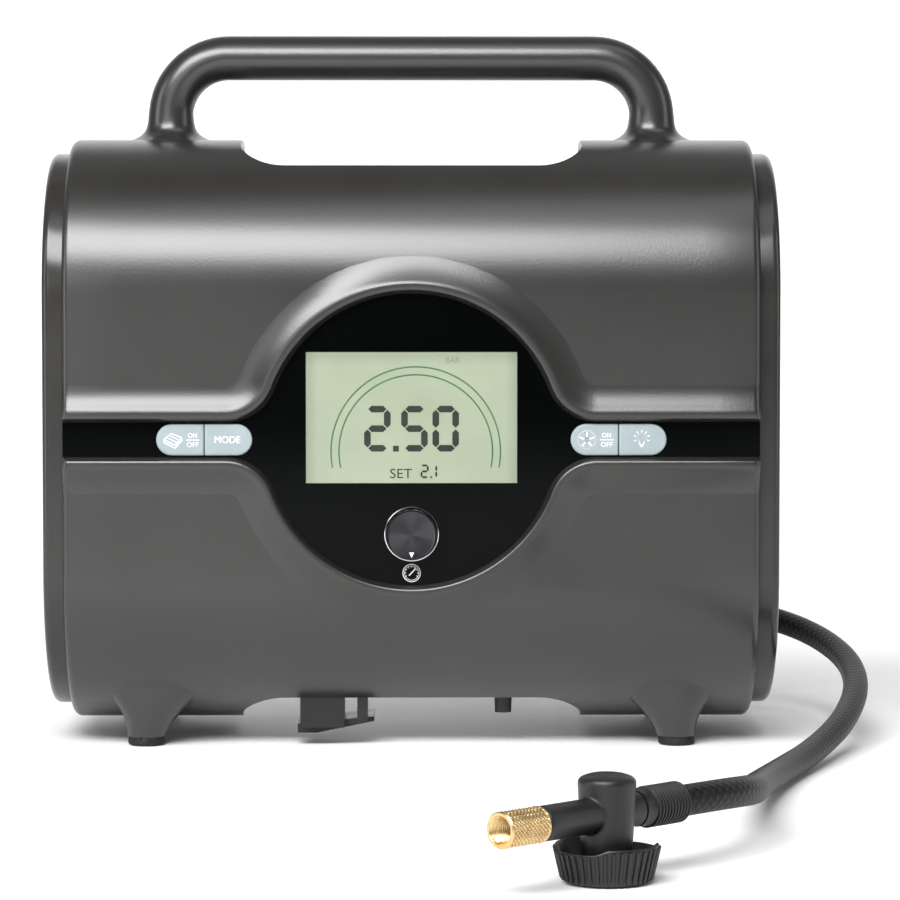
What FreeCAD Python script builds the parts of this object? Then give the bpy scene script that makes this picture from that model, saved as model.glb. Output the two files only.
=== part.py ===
import FreeCAD, Part
import Sketcher

import os
import re
from math import cos, pi, sin, sqrt, tan

from FreeCAD import Placement, Rotation, Vector

# A portable tyre inflator with a round gauge panel: a moulded two-part casing with a
# tube handle, end caps, feet, a piston compressor in the left lobe, a blower for
# mattresses in the right lobe, and a braided air hose with a screw-on tyre head.
# Frame: +Z up, the gauge faces -Y, +X to the right of somebody who reads the gauge.
# The origin is on the floor, under the middle of the casing.

doc = FreeCAD.newDocument("tyre_inflator")
sheet = doc.addObject("Spreadsheet::Sheet", "Dims")

DIMENSIONS = [
    # casing
    ("body_bottom", 8.0, "underside of the casing above the floor"),
    ("body_top", 234.0, "top of the casing"),
    ("body_half_depth", 72.0, "half of the casing's depth"),
    ("body_half_length", 132.0, "middle of the casing to the seam of an end cap"),
    ("corner_radius", 60.0, "long rounded edges of the casing"),
    ("end_rounding", 3.0, "rounding at the casing's two end rims"),
    ("wall", 2.5, "moulded wall"),
    ("end_wall_rim", 12.0, "width of the end walls' rim round their opening"),
    ("cap_inset", 5.3, "end cap outline inside the casing outline"),
    ("cap_thick", 8.0, "end cap"),
    # storage recess at the back
    ("recess_mouth", 68.0, "half width at the rear"),
    ("recess_floor", -46.0, "depth coordinate of the recess floor"),
    ("recess_half_width", 66.0, "half width at the floor, before the corner rounding"),
    ("recess_corner", 17.0, "rounding between floor and side walls"),
    # gauge panel
    ("panel_centre", 119.5, "height of the gauge's centre"),
    ("lens_radius", 55.0, "round part of the lens"),
    ("strip_half", 6.4, "half height of the lens strip"),
    ("lens_front", -71.2, "front face of the lens"),
    ("lens_thick", 2.0, "lens"),
    ("lip_front", -75.0, "crest of the raised lip"),
    ("lip_gap", 1.8, "crest's inner edge outside the lens edge"),
    ("lip_crest", 2.6, "width of the flat crest"),
    ("lip_slope", 11.0, "width of the outer slope"),
    ("strip_fillet", 20.0, "rounding where the strip meets the circle"),
    ("seam", 0.15, "gap round a piece that drops into its seat"),
    # handle
    ("grip_height", 266.5, "centre line of the grip"),
    ("grip_radius", 8.75, "grip"),
    ("leg_reach", 94.8, "centre line of a leg from the middle"),
    ("leg_radius", 9.6, "leg where it meets the casing"),
    ("handle_bend", 23.0, "centre line radius of the two bends"),
    ("flare_radius", 16.5, "foot of the leg"),
    ("handle_wall", 2.6, "wall of the hollow handle"),
    # feet
    ("foot_reach", 102.5, "pad centre from the middle, along the length"),
    ("foot_depth", 42.0, "pad centre from the middle, front and rear"),
    ("pad_radius", 7.1, "rubber pad"),
    ("pad_height", 3.5, "rubber pad"),
    # display, knob and buttons
    ("lcd_wide", 79.7, "visible display"),
    ("lcd_high", 49.5, "visible display"),
    ("lcd_thick", 2.8, "display glass"),
    ("lcd_middle", 127.8, "height of the display's centre"),
    ("knob_radius", 9.8, "setting knob"),
    ("knob_stand", 7.2, "setting knob in front of the lens"),
    ("knob_middle", 83.8, "height of the knob's axis"),
    ("button_reach", 78.2, "middle of a button pair"),
    ("button_half", 18.1, "half width of a button pair"),
    ("button_high", 11.9, "height of a button"),
    ("button_proud", 1.0, "button in front of the lens"),
    ("button_travel", 0.8, "how far a button is pressed"),
    ("board_front", -58.5, "front face of the control board"),
    ("board_thick", 1.6, "control board"),
    # compressor, in the left lobe
    ("lobe_middle", 100.0, "middle of a lobe"),
    ("motor_radius", 19.0, "compressor motor can"),
    ("motor_length", 56.0, "compressor motor can"),
    ("crank_height", 105.0, "crank axis"),
    ("gear_module", 1.0, "tooth module"),
    ("pinion_teeth", 10.0, "teeth on the motor pinion"),
    ("gear_teeth", 50.0, "teeth on the crank gear"),
    ("crank_throw", 8.0, "crank pin from the crank axis"),
    ("rod_length", 48.0, "crank pin to piston centre"),
    ("bore_radius", 11.0, "cylinder bore"),
    ("cylinder_radius", 15.0, "cylinder outside"),
    ("cylinder_bottom", 136.0, "foot of the cylinder"),
    ("cylinder_top", 176.0, "top of the cylinder"),
    ("plate_front", -8.0, "front face of the gear plate"),
    ("plate_thick", 3.0, "gear plate"),
    ("rod_depth", -19.0, "depth coordinate of the piston's axis"),
    # blower, in the right lobe
    ("blower_height", 112.0, "blower axis"),
    ("impeller_radius", 22.0, "blower impeller"),
    ("volute_radius", 27.0, "blower housing"),
    ("port_reach", 112.0, "blower port from the middle"),
    ("port_height", 152.0, "blower port"),
    ("port_bore", 11.0, "inside radius of the blower port"),
    ("port_end", 78.4, "rear end of the blower port"),
    # hose and tyre head
    ("hose_radius", 4.9, "braided hose"),
    ("collar_length", 20.0, "ribbed collar on the hose"),
    ("collar_radius", 6.5, "ribbed collar on the hose"),
    ("head_height", 21.0, "axis of the tyre head above the floor"),
    ("head_radius", 9.0, "upright barrel of the tyre head, at the top"),
    ("head_foot_radius", 7.4, "upright barrel of the tyre head, at its foot"),
    ("branch_radius", 5.4, "level branch of the tyre head"),
    ("nut_radius", 5.6, "brass nut"),
    ("nut_length", 17.0, "brass nut"),
    ("nut_bore", 3.85, "thread bore of the brass nut, for a tyre valve"),
    ("thumb_radius", 16.5, "ribbed thumb wheel under the head"),
    ("thumb_height", 12.0, "ribbed thumb wheel"),
    ("cup_floor", 2.5, "floor of the thumb wheel's cup"),
]

for row, (alias, value, note) in enumerate(DIMENSIONS, start=1):
    sheet.set(f"A{row}", note)
    sheet.set(f"B{row}", str(value))
    sheet.setAlias(f"B{row}", alias)
doc.recompute()

ALIASES = re.compile(r"\b(" + "|".join(alias for alias, value, note in DIMENSIONS) + r")\b")


def dim(alias):
    """The value of one driving dimension, in millimetres."""
    return float(sheet.get(alias))


def bound(text):
    """An expression in which each driving dimension is a cell of the sheet."""
    return ALIASES.sub(r"Dims.\1", str(text))


TURNS = {
    "z": Rotation(),
    "-z": Rotation(Vector(1, 0, 0), 180),
    "x": Rotation(Vector(0, 1, 0), 90),
    "-x": Rotation(Vector(0, 1, 0), -90),
    "y": Rotation(Vector(1, 0, 0), -90),
    "-y": Rotation(Vector(1, 0, 0), 90),
}


def put(piece, at, axis="z"):
    """Put a piece's own origin at three expressions, with its own Z along an axis."""
    turn = TURNS[axis] if isinstance(axis, str) else axis
    piece.Placement = Placement(Vector(), turn)
    for letter, text in zip("xyz", at):
        piece.setExpression("Placement.Base." + letter, bound(text))
    return piece


def box(label, size, at):
    """A block from its lowest corner."""
    block = doc.addObject("Part::Box", label)
    for side, text in zip(("Length", "Width", "Height"), size):
        block.setExpression(side, bound(text))
    return put(block, at)


def rod(label, radius, length, at, axis="z"):
    """A round bar from the middle of its first end."""
    bar = doc.addObject("Part::Cylinder", label)
    bar.setExpression("Radius", bound(radius))
    bar.setExpression("Height", bound(length))
    return put(bar, at, axis)


def taper(label, first, last, length, at, axis="z"):
    """A cone frustum from the middle of its first end."""
    cone = doc.addObject("Part::Cone", label)
    cone.setExpression("Radius1", bound(first))
    cone.setExpression("Radius2", bound(last))
    cone.setExpression("Height", bound(length))
    return put(cone, at, axis)


def ring(label, middle, section, at, axis="z"):
    """A torus round its own origin."""
    torus = doc.addObject("Part::Torus", label)
    torus.setExpression("Radius1", bound(middle))
    torus.setExpression("Radius2", bound(section))
    return put(torus, at, axis)


def fuse(label, *pieces):
    joined = doc.addObject("Part::MultiFuse", label)
    joined.Shapes = list(pieces)
    return joined


def cut(label, base, *tools):
    left = doc.addObject("Part::Cut", label)
    left.Base = base
    left.Tool = tools[0] if len(tools) == 1 else fuse(label + "_tools", *tools)
    return left


def group(label, pieces):
    """Several like pieces that stay separate solids in one node."""
    several = doc.addObject("Part::Compound", label)
    several.Links = list(pieces)
    return several


def fixed(label, shape):
    """A sub-part whose shape is worked out here from the sheet's values."""
    feature = doc.addObject("Part::Feature", label)
    feature.Shape = shape
    return feature


def turned(label, profile, at, axis="z"):
    """A body turned about its own Z from a closed outline of (radius, height) expressions."""
    body = doc.addObject("PartDesign::Body", label)
    sketch = body.newObject("Sketcher::SketchObject", label + "_outline")
    plane = [f for f in body.Origin.OriginFeatures if f.Role == "XZ_Plane"][0]
    sketch.AttachmentSupport = [(plane, "")]
    sketch.MapMode = "FlatFace"
    values = [(evaluate(radius), evaluate(height)) for radius, height in profile]
    count = len(profile)
    for index in range(count):
        start = Vector(*values[index], 0)
        end = Vector(*values[(index + 1) % count], 0)
        sketch.addGeometry(Part.LineSegment(start, end), False)
    for index in range(count):
        sketch.addConstraint(Sketcher.Constraint("Coincident", index, 2, (index + 1) % count, 1))
    for index, (radius, height) in enumerate(profile):
        if values[index][0] == 0:
            sketch.addConstraint(Sketcher.Constraint("PointOnObject", index, 1, -2))
        else:
            number = sketch.addConstraint(
                Sketcher.Constraint("DistanceX", -1, 1, index, 1, values[index][0]))
            sketch.setExpression(f"Constraints[{number}]", bound(radius))
        if values[index][1] == 0:
            sketch.addConstraint(Sketcher.Constraint("PointOnObject", index, 1, -1))
        else:
            number = sketch.addConstraint(
                Sketcher.Constraint("DistanceY", -1, 1, index, 1, values[index][1]))
            sketch.setExpression(f"Constraints[{number}]", bound(height))
    turning = body.newObject("PartDesign::Revolution", label + "_turned")
    turning.Profile = sketch
    turning.ReferenceAxis = (sketch, ["V_Axis"])
    turning.Angle = 360
    return put(body, at, axis)


def evaluate(text):
    """The number that an expression in driving dimensions gives now."""
    return float(sheet.evalExpression(bound(text)))


# ---------------------------------------------------------------- casing and handle


def soft_block(inset, half_length, end_radius=0.0):
    """The casing's rounded bar, moved inwards by a distance."""
    half_depth = dim("body_half_depth") - inset
    low = dim("body_bottom") + inset
    high = dim("body_top") - inset
    block = Part.makeBox(2 * half_length, 2 * half_depth, high - low,
                         Vector(-half_length, -half_depth, low))
    long_edges = [e for e in block.Edges if abs(e.Length - 2 * half_length) < 1e-6]
    block = block.makeFillet(dim("corner_radius") - inset, long_edges)
    if end_radius:
        rims = [e for e in block.Edges if abs(abs(e.CenterOfMass.x) - half_length) < 1e-6]
        block = block.makeFillet(end_radius, rims)
    return block


def recess_block(grow):
    """The storage recess as a solid, moved outwards by a distance."""
    floor = dim("recess_floor") - grow
    floor_half = dim("recess_half_width") + grow
    mouth_half = dim("recess_mouth") + grow
    beyond = dim("body_half_depth") + 20
    corners = [(-floor_half, floor), (floor_half, floor), (mouth_half, beyond), (-mouth_half, beyond)]
    wire = Part.makePolygon([Vector(x, y, -10) for x, y in corners + corners[:1]])
    block = Part.Face(wire).extrude(Vector(0, 0, 280))
    inner = [e for e in block.Edges
             if abs(e.CenterOfMass.y - floor) < 1e-6 and abs(e.Length - 280) < 1e-6]
    return block.makeFillet(dim("recess_corner") + grow, inner)


def panel_outline(grow, depth, half_length):
    """The gauge panel's outline, circle and strip, moved outwards by a distance."""
    centre = dim("panel_centre")
    circle = dim("lens_radius") + grow
    half = dim("strip_half") + grow
    rounding = dim("strip_fillet") - grow
    rise = dim("strip_half") + dim("strip_fillet")
    reach = sqrt((dim("lens_radius") + dim("strip_fillet")) ** 2 - rise ** 2)
    towards = Vector(-reach, 0, -rise).normalize()
    middle = (towards + Vector(0, 0, -1)).normalize()

    def at(x_sign, z_sign, x, z):
        return Vector(x_sign * x, depth, centre + z_sign * z)

    def bend(x_sign, z_sign):
        start = at(x_sign, z_sign, reach, half)
        halfway = at(x_sign, z_sign, reach + rounding * middle.x, rise + rounding * middle.z)
        end = at(x_sign, z_sign, -circle * towards.x, -circle * towards.z)
        return start, halfway, end

    edges = []
    for z_sign in (1, -1):
        right, left = (1, -1) if z_sign == 1 else (-1, 1)
        side = at(right, -z_sign, half_length, half)
        corner = at(right, z_sign, half_length, half)
        first = bend(right, z_sign)
        last = bend(left, z_sign)
        far = at(left, z_sign, half_length, half)
        edges.append(Part.LineSegment(side, corner).toShape())
        edges.append(Part.LineSegment(corner, first[0]).toShape())
        edges.append(Part.Arc(*first).toShape())
        edges.append(Part.Arc(first[2], at(1, z_sign, 0, circle), last[2]).toShape())
        edges.append(Part.Arc(*reversed(last)).toShape())
        edges.append(Part.LineSegment(last[0], far).toShape())
    return Part.Wire(edges)


def panel_solid(grow_front, grow_back, front, back, half_length):
    """A solid between two panel outlines."""
    outlines = [panel_outline(grow_front, front, half_length), panel_outline(grow_back, back, half_length)]
    return Part.makeLoft(outlines, True, True)


def pill(half_width, height, front, back, centre_x):
    """A block with round ends, like a pair of buttons."""
    radius = height / 2
    core = Part.makeBox(2 * (half_width - radius), back - front, height,
                        Vector(centre_x - half_width + radius, front, dim("panel_centre") - radius))
    ends = [Part.makeCylinder(radius, back - front,
                              Vector(centre_x + side * (half_width - radius), front, dim("panel_centre")),
                              Vector(0, 1, 0)) for side in (-1, 1)]
    return core.multiFuse(ends).removeSplitter()


seam = dim("seam")
wall = dim("wall")
half_length = dim("body_half_length")
lens_front = dim("lens_front")
lens_back = lens_front + dim("lens_thick")
ledge_back = lens_back + 2.4
lip_inner = dim("lip_gap")
lip_outer = lip_inner + dim("lip_crest")
slope_outer = lip_outer + dim("lip_slope")

outside = soft_block(0, half_length, dim("end_rounding"))
inside = soft_block(wall, half_length - wall)
end_hole = soft_block(dim("end_wall_rim"), half_length + 10)
recess = recess_block(0)
skin = outside.cut(recess)
hollow = inside.cut(recess_block(wall))
end_openings = end_hole.cut(recess_block(wall + 9.5))
casing = skin.cut(hollow.fuse(end_openings))

front_half = Part.makeBox(400, 200, 400, Vector(-200, -200, -50))
bulkhead = Part.makeBox(400, 200, 400, Vector(-200, 0, -50))

# The front shell: the front half of the skin, the raised lip round the gauge panel, the
# ledge that carries the lens, and the middle wall in front of the recess floor.
front = casing.common(front_half)
liner_zone = recess_block(wall).cut(recess)
front = front.cut(liner_zone.common(inside))
crest = panel_solid(lip_outer, slope_outer, dim("lip_front"), -71.5, half_length)
skirt = panel_solid(slope_outer, slope_outer + 3.6, -71.5, -67.5, half_length)
ledge = panel_solid(3.0, 3.0, -70.5, ledge_back, half_length - wall)
front = front.multiFuse([crest, skirt, ledge])
front = front.cut(panel_solid(lip_inner, seam, dim("lip_front") - 0.01, lens_front, half_length + 5))
front = front.cut(panel_solid(seam, seam, lens_front - 0.2, lens_back, half_length + 5))
window = Part.makeCylinder(dim("lens_radius") - 2.5, 10, Vector(0, -73, dim("panel_centre")),
                           Vector(0, 1, 0))
front = front.cut(window)

# The feet run out of the casing's underside; the front pair belongs to the front shell.
foot_reach = dim("foot_reach")
foot_depth = dim("foot_depth")
pad_height = dim("pad_height")
pad_radius = dim("pad_radius")


def foot(x_sign, y_sign):
    """A foot that flares into the casing, clear of the hollow inside."""
    stations = [(pad_height, pad_radius + 0.2, foot_reach), (12, 10.5, foot_reach - 2.0),
                (27, 12.5, foot_reach - 4.0)]
    rings = [Part.Wire(Part.makeCircle(radius, Vector(x_sign * reach, y_sign * foot_depth, height)))
             for height, radius, reach in stations]
    return Part.makeLoft(rings, True, False).cut(inside)


# Screw pillars: each screw goes in from the rear and bites in the front pillar.
PILLARS = [(x_sign * reach, height) for x_sign in (-1, 1) for reach in (77, 122) for height in (34, 212)]
PILLAR_RADIUS = 4.2
SCREW_HEAD_AT = 20.0
SCREW_HEAD_HIGH = 2.6
SCREW_TIP = -14.0
rear_pillars = []
front_pillars = []
screw_holes = []
front_holes = []
for x, z in PILLARS:
    rear_pillars.append(Part.makeCylinder(PILLAR_RADIUS, 90, Vector(x, 0, z), Vector(0, 1, 0)))
    front_pillars.append(Part.makeCylinder(PILLAR_RADIUS, 90, Vector(x, -90, z), Vector(0, 1, 0)))
    screw_holes.append(Part.makeCylinder(1.9, 90, Vector(x, -1, z), Vector(0, 1, 0)))
    screw_holes.append(Part.makeCylinder(3.6, 90, Vector(x, SCREW_HEAD_AT - SCREW_HEAD_HIGH, z),
                                         Vector(0, 1, 0)))
    front_holes.append(Part.makeCylinder(1.6, 15, Vector(x, -15, z), Vector(0, 1, 0)))

# The handle's legs plug into the top of the casing, on the seam between the shells.
leg_holes = [Part.makeCylinder(dim("leg_radius"), 30, Vector(side * dim("leg_reach"), 0, 220))
             for side in (-1, 1)]

# Stems of the buttons and the axle of the knob pass through the front.
BUTTON_CENTRES = [side * dim("button_reach") + half * dim("button_half") / 2
                  for side in (-1, 1) for half in (-1, 1)]
stem_holes = [Part.makeCylinder(2.5, 10, Vector(x, -73, dim("panel_centre")), Vector(0, 1, 0))
              for x in BUTTON_CENTRES]

front = front.multiFuse([pillar.common(outside) for pillar in front_pillars]
                        + [foot(side, -1) for side in (-1, 1)])
front = front.cut(front_holes + leg_holes + stem_holes)
front_shell = fixed("front_shell", front)

# The liner of the storage recess: a channel behind the front shell, between the two lobes.
gland_hole = Part.makeCylinder(7.0, 12, Vector(-75, 15, 60), Vector(1, 0, 0))
inlet_hole = Part.makeBox(12, 22, 16, Vector(64, 14, 52))
port_hole = Part.makeCylinder(dim("port_bore") + 2.6, 40,
                              Vector(dim("port_reach"), 50, dim("port_height")), Vector(0, 1, 0))
liner = liner_zone.common(inside)
recess_liner = fixed("recess_liner", liner.cut([gland_hole, inlet_hole]))

# The rear shells close the back of the two lobes, left and right of the recess.
rear = casing.common(bulkhead).cut(liner)
rear = rear.multiFuse([pillar.common(outside) for pillar in rear_pillars]
                      + [foot(side, 1) for side in (-1, 1)])
rear = rear.cut(screw_holes + leg_holes + [port_hole])
left_side = Part.makeBox(200, 400, 400, Vector(-200, -200, -50))
left_rear_shell = fixed("left_rear_shell", rear.common(left_side))
right_rear_shell = fixed("right_rear_shell", rear.cut(left_side))

# End caps: gloss covers that hide the end walls; a rim locates each in its opening.
cap_inset = dim("cap_inset")
cap_end = half_length + dim("cap_thick")
beyond_seam = Part.makeBox(100, 400, 400, Vector(half_length, -200, -50))
cap_cover = soft_block(cap_inset, cap_end, dim("end_rounding")).common(beyond_seam)
cap_cover = cap_cover.cut(soft_block(cap_inset + wall, cap_end - wall))
rim_inset = dim("end_wall_rim") + seam
cap_rim = soft_block(rim_inset, cap_end - 1).cut(soft_block(rim_inset + 2, cap_end + 1))
cap_rim = cap_rim.common(Part.makeBox(100, 400, 400, Vector(half_length - 5, -200, -50)))
end_cap = cap_cover.fuse(cap_rim)
LAMP_HEIGHT = 196.0
LAMP_RADIUS = 15.0
VENTS = 9
vents = [Part.makeBox(30, 64, 3.2, Vector(cap_end - 15, -32, 68 + 9 * index)) for index in range(VENTS)]
lamp_hole = Part.makeCylinder(LAMP_RADIUS + seam, 30, Vector(cap_end - 15, 0, LAMP_HEIGHT), Vector(1, 0, 0))
right_end_cap = fixed("right_end_cap", end_cap.cut(vents + [lamp_hole]))
left_end_cap = fixed("left_end_cap", end_cap.cut(vents).mirror(Vector(), Vector(1, 0, 0)))

# The handle: a hollow moulded tube with two bends; each leg flares where it stands on the
# casing and its plug goes on into the casing.
grip_height = dim("grip_height")
grip_radius = dim("grip_radius")
leg_reach = dim("leg_reach")
leg_radius = dim("leg_radius")
bend_radius = dim("handle_bend")
handle_wall = dim("handle_wall")
leg_foot = dim("body_top")
plug_bottom = leg_foot - 10


def handle_path(low):
    """The centre line of the handle from the bottom of one leg to the other."""
    top = grip_height - bend_radius
    diagonal = bend_radius * (1 - sqrt(0.5))
    reach = leg_reach - bend_radius
    left = [Vector(-leg_reach, 0, top), Vector(-leg_reach + diagonal, 0, grip_height - diagonal),
            Vector(-reach, 0, grip_height)]
    right = [Vector(-p.x, 0, p.z) for p in reversed(left)]
    return Part.Wire([
        Part.LineSegment(Vector(-leg_reach, 0, low), left[0]).toShape(),
        Part.Arc(*left).toShape(),
        Part.LineSegment(left[2], right[0]).toShape(),
        Part.Arc(*right).toShape(),
        Part.LineSegment(right[2], Vector(leg_reach, 0, low)).toShape(),
    ])


def handle_tube(radius, low):
    section = Part.Wire(Part.makeCircle(radius, Vector(-leg_reach, 0, low)))
    return handle_path(low).makePipeShell([section], True, False)


def leg_flare(side):
    """The trumpet foot of a leg, turned about the leg's axis."""
    flare = dim("flare_radius")
    rise = 7.5
    top = Vector(leg_radius, 0, leg_foot + rise)
    foot_rim = Vector(flare, 0, leg_foot)
    hollow_of_bend = Vector(leg_radius + 1.3, 0, leg_foot + 2.2)
    neck = Vector(grip_radius, 0, grip_height - bend_radius)
    edges = [Part.LineSegment(Vector(0, 0, leg_foot), foot_rim).toShape(),
             Part.Arc(foot_rim, hollow_of_bend, top).toShape(),
             Part.LineSegment(top, neck).toShape(),
             Part.LineSegment(neck, Vector(0, 0, neck.z)).toShape(),
             Part.LineSegment(Vector(0, 0, neck.z), Vector(0, 0, leg_foot)).toShape()]
    trumpet = Part.Face(Part.Wire(edges)).revolve(Vector(), Vector(0, 0, 1), 360)
    trumpet.translate(Vector(side * leg_reach, 0, 0))
    return trumpet


handle_outside = handle_tube(grip_radius, plug_bottom).multiFuse([leg_flare(-1), leg_flare(1)])
handle = fixed("handle", handle_outside.cut(handle_tube(grip_radius - handle_wall, plug_bottom - 1)))

# The lens: a black sheet over the whole panel, cut out for the display, the buttons and
# the axle of the knob.
lens = panel_solid(0, 0, lens_front, lens_back, half_length - 0.3)
display_window = Part.makeBox(dim("lcd_wide") + 2 * seam, 10, dim("lcd_high") + 2 * seam,
                              Vector(-dim("lcd_wide") / 2 - seam, -75,
                                     dim("lcd_middle") - dim("lcd_high") / 2 - seam))
knob_hole = Part.makeCylinder(3.6, 10, Vector(0, -75, dim("knob_middle")), Vector(0, 1, 0))
button_windows = [pill(dim("button_half") + seam, dim("button_high") + 2 * seam, -75, -65,
                       side * dim("button_reach")) for side in (-1, 1)]
display_lens = fixed("display_lens", lens.cut([display_window, knob_hole] + button_windows))

# ---------------------------------------------------------------- feet, display and controls

foot_pads = group("foot_pads", [
    turned(f"foot_pad_{number}",
           [("0", "0"), ("pad_radius - 0.8", "0"), ("pad_radius", "0.8"), ("pad_radius", "pad_height"),
            ("0", "pad_height")],
           (f"foot_reach * {x_sign}", f"foot_depth * {y_sign}", "0"))
    for number, (x_sign, y_sign) in enumerate([(-1, -1), (1, -1), (1, 1), (-1, 1)], start=1)])

lcd_panel = box("lcd_panel", ("lcd_wide", "lcd_thick + 1.8", "lcd_high"),
                ("-lcd_wide / 2", "lens_front + 0.2", "lcd_middle - lcd_high / 2"))
lcd_frame = cut("lcd_frame",
                box("lcd_frame_block", ("lcd_wide + 10", "3.6", "lcd_high + 8"),
                    ("-lcd_wide / 2 - 5", "lens_front + 4.9", "lcd_middle - lcd_high / 2 - 4")),
                box("lcd_frame_hollow", ("lcd_wide - 4", "2.4", "lcd_high - 4"),
                    ("-lcd_wide / 2 + 2", "lens_front + 4.8", "lcd_middle - lcd_high / 2 + 2")))

BOARD_HALF = 99
BOARD_SCREWS = [(-92, 98), (92, 98), (-92, 141), (92, 141)]
control_board = cut("control_board",
                    box("control_board_blank", (2 * BOARD_HALF, "board_thick", "70"),
                        (-BOARD_HALF, "board_front", "84")),
                    box("board_notch_left", ("30", "10", "16"), (-BOARD_HALF - 1, "board_front - 4", "83")),
                    *[rod(f"board_hole_{number}", "1.6", "10", (x, "board_front - 4", z), "y")
                      for number, (x, z) in enumerate(BOARD_SCREWS[1:], start=1)])
board_screws = group("board_screws", [
    turned(f"board_screw_{number}",
           [("0", "0"), ("2.8", "0"), ("2.8", "1.6"), ("1.5", "1.6"), ("1.5", "9"), ("0", "9")],
           (x, "board_front + board_thick + 1.6", z), "-y")
    for number, (x, z) in enumerate(BOARD_SCREWS[1:], start=1)])

tact_switches = group("tact_switches", [
    fuse(f"tact_switch_{number}",
         box(f"tact_case_{number}", ("6", "3.6", "6"), (x - 3, "board_front - 3.6", "panel_centre - 3")),
         rod(f"tact_plunger_{number}", "1.7", "5", (x, "board_front - 5", "panel_centre"), "y"))
    for number, x in enumerate(BUTTON_CENTRES, start=1)])

BUTTON_NAMES = ["mattress_button", "mode_button", "tyre_button", "lamp_button"]
button_front = lens_front - dim("button_proud")
button_back = button_front + 1.8
STEM_END = -64.5
SPLIT = 0.3
buttons = {}
for name, centre in zip(BUTTON_NAMES, BUTTON_CENTRES):
    side = 1 if centre > 0 else -1
    half_wide = dim("button_half") / 2 - SPLIT / 2
    window = Part.makeBox(2 * half_wide, 10, 40, Vector(centre - half_wide, -80, dim("panel_centre") - 20))
    cap = pill(dim("button_half"), dim("button_high"), button_front, button_back,
               side * dim("button_reach")).common(window)
    stem = Part.makeCylinder(2.0, STEM_END - button_back + 0.5,
                             Vector(centre, button_back - 0.5, dim("panel_centre")), Vector(0, 1, 0))
    buttons[name] = fixed(name, cap.fuse(stem))

pressure_knob = turned("pressure_knob",
                       [("0", "2.4"), ("3.05", "2.4"), ("3.05", "0.4"), ("knob_radius - 0.5", "0.4"),
                        ("knob_radius - 0.3", "knob_stand - 0.7"), ("knob_radius - 1.0", "knob_stand"),
                        ("0", "knob_stand")],
                       ("0", "lens_front", "knob_middle"), "-y")
knob_trim_ring = turned("knob_trim_ring",
                        [("knob_radius - 0.1", "0"), ("knob_radius + 0.7", "0"),
                         ("knob_radius + 0.5", "0.9"), ("knob_radius - 0.1", "0.9")],
                        ("0", "lens_front", "knob_middle"), "-y")
SHAFT_BACK = 63.3
encoder_shaft = rod("encoder_shaft", "3", f"2.4 - lens_front - {SHAFT_BACK}",
                    ("0", -SHAFT_BACK, "knob_middle"), "-y")
encoder = cut("encoder",
              box("encoder_case", ("12", "4.8", "12"), ("-6", "board_front - 4.8", "knob_middle - 6")),
              rod("encoder_bore", "3.05", "4", ("0", "board_front - 5.5", "knob_middle"), "y"))

shell_screws = group("shell_screws", [
    turned(f"shell_screw_{number}",
           [("0", "0"), ("3.4", "0"), ("3.4", SCREW_HEAD_HIGH), ("1.6", SCREW_HEAD_HIGH),
            ("1.6", SCREW_HEAD_AT - SCREW_TIP), ("0", SCREW_HEAD_AT - SCREW_TIP)],
           (x, SCREW_HEAD_AT, z), "-y")
    for number, (x, z) in enumerate(PILLARS, start=1)])

# ---------------------------------------------------------------- compressor, left lobe

CRANK_X = "-lobe_middle"
MOTOR_Z = "crank_height - gear_module * (pinion_teeth + gear_teeth) / 2"


def toothed(label, teeth_alias, bore, width, at, phase):
    """A spur gear with straight-flanked teeth, its own Z along the axle."""
    teeth = int(dim(teeth_alias))
    module = dim("gear_module")
    pitch = module * teeth / 2
    step = 2 * pi / teeth
    root_half = 0.30 * step
    tip_half = 0.13 * step
    points = []
    for tooth in range(teeth):
        middle = phase + tooth * step
        for radius, turn in ((pitch - 1.15 * module, -root_half), (pitch + 0.75 * module, -tip_half),
                             (pitch + 0.75 * module, tip_half), (pitch - 1.15 * module, root_half)):
            points.append(Vector(radius * cos(middle + turn), radius * sin(middle + turn), 0))
    blank = Part.Face(Part.makePolygon(points + points[:1])).extrude(Vector(0, 0, width))
    gear = fixed(label, blank.cut(Part.makeCylinder(bore, width + 2, Vector(0, 0, -1))))
    return put(gear, at, "y")


compressor_frame = cut("compressor_frame",
                       fuse("gear_plate_blank",
                            box("gear_plate", ("46", "plate_thick", "cylinder_bottom - 50"),
                                (CRANK_X + " - 23", "plate_front", "50")),
                            box("gear_plate_tab", ("8", "plate_thick", "30"),
                                (CRANK_X + " + 22.5", "plate_front", "96")),
                            box("cylinder_shelf", ("38", "31", "3"),
                                (CRANK_X + " - 19", "rod_depth - 17", "cylinder_bottom - 3"))),
                       rod("rod_opening", "bore_radius", "10",
                           (CRANK_X, "rod_depth", "cylinder_bottom - 5"), "z"),
                       rod("bush_seat", "5.5", "10", (CRANK_X, "plate_front - 2", "crank_height"), "y"),
                       rod("motor_nose_seat", "6", "10", (CRANK_X, "plate_front - 2", MOTOR_Z), "y"))
crank_bush = turned("crank_bush",
                    [("3.05", "0"), ("5.5", "0"), ("5.5", "plate_thick"), ("7.2", "plate_thick"),
                     ("7.2", "plate_thick + 1.6"), ("3.05", "plate_thick + 1.6")],
                    (CRANK_X, "plate_front", "crank_height"), "y")
compressor_motor = turned("compressor_motor",
                          [("1.65", "-plate_thick"), ("6", "-plate_thick"), ("6", "0"),
                           ("motor_radius", "0"), ("motor_radius", "motor_length - 1.5"),
                           ("motor_radius - 1.5", "motor_length"),
                           ("7", "motor_length"), ("7", "motor_length + 2.5"),
                           ("1.65", "motor_length + 2.5")],
                          (CRANK_X, "plate_front + plate_thick", MOTOR_Z), "y")
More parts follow.
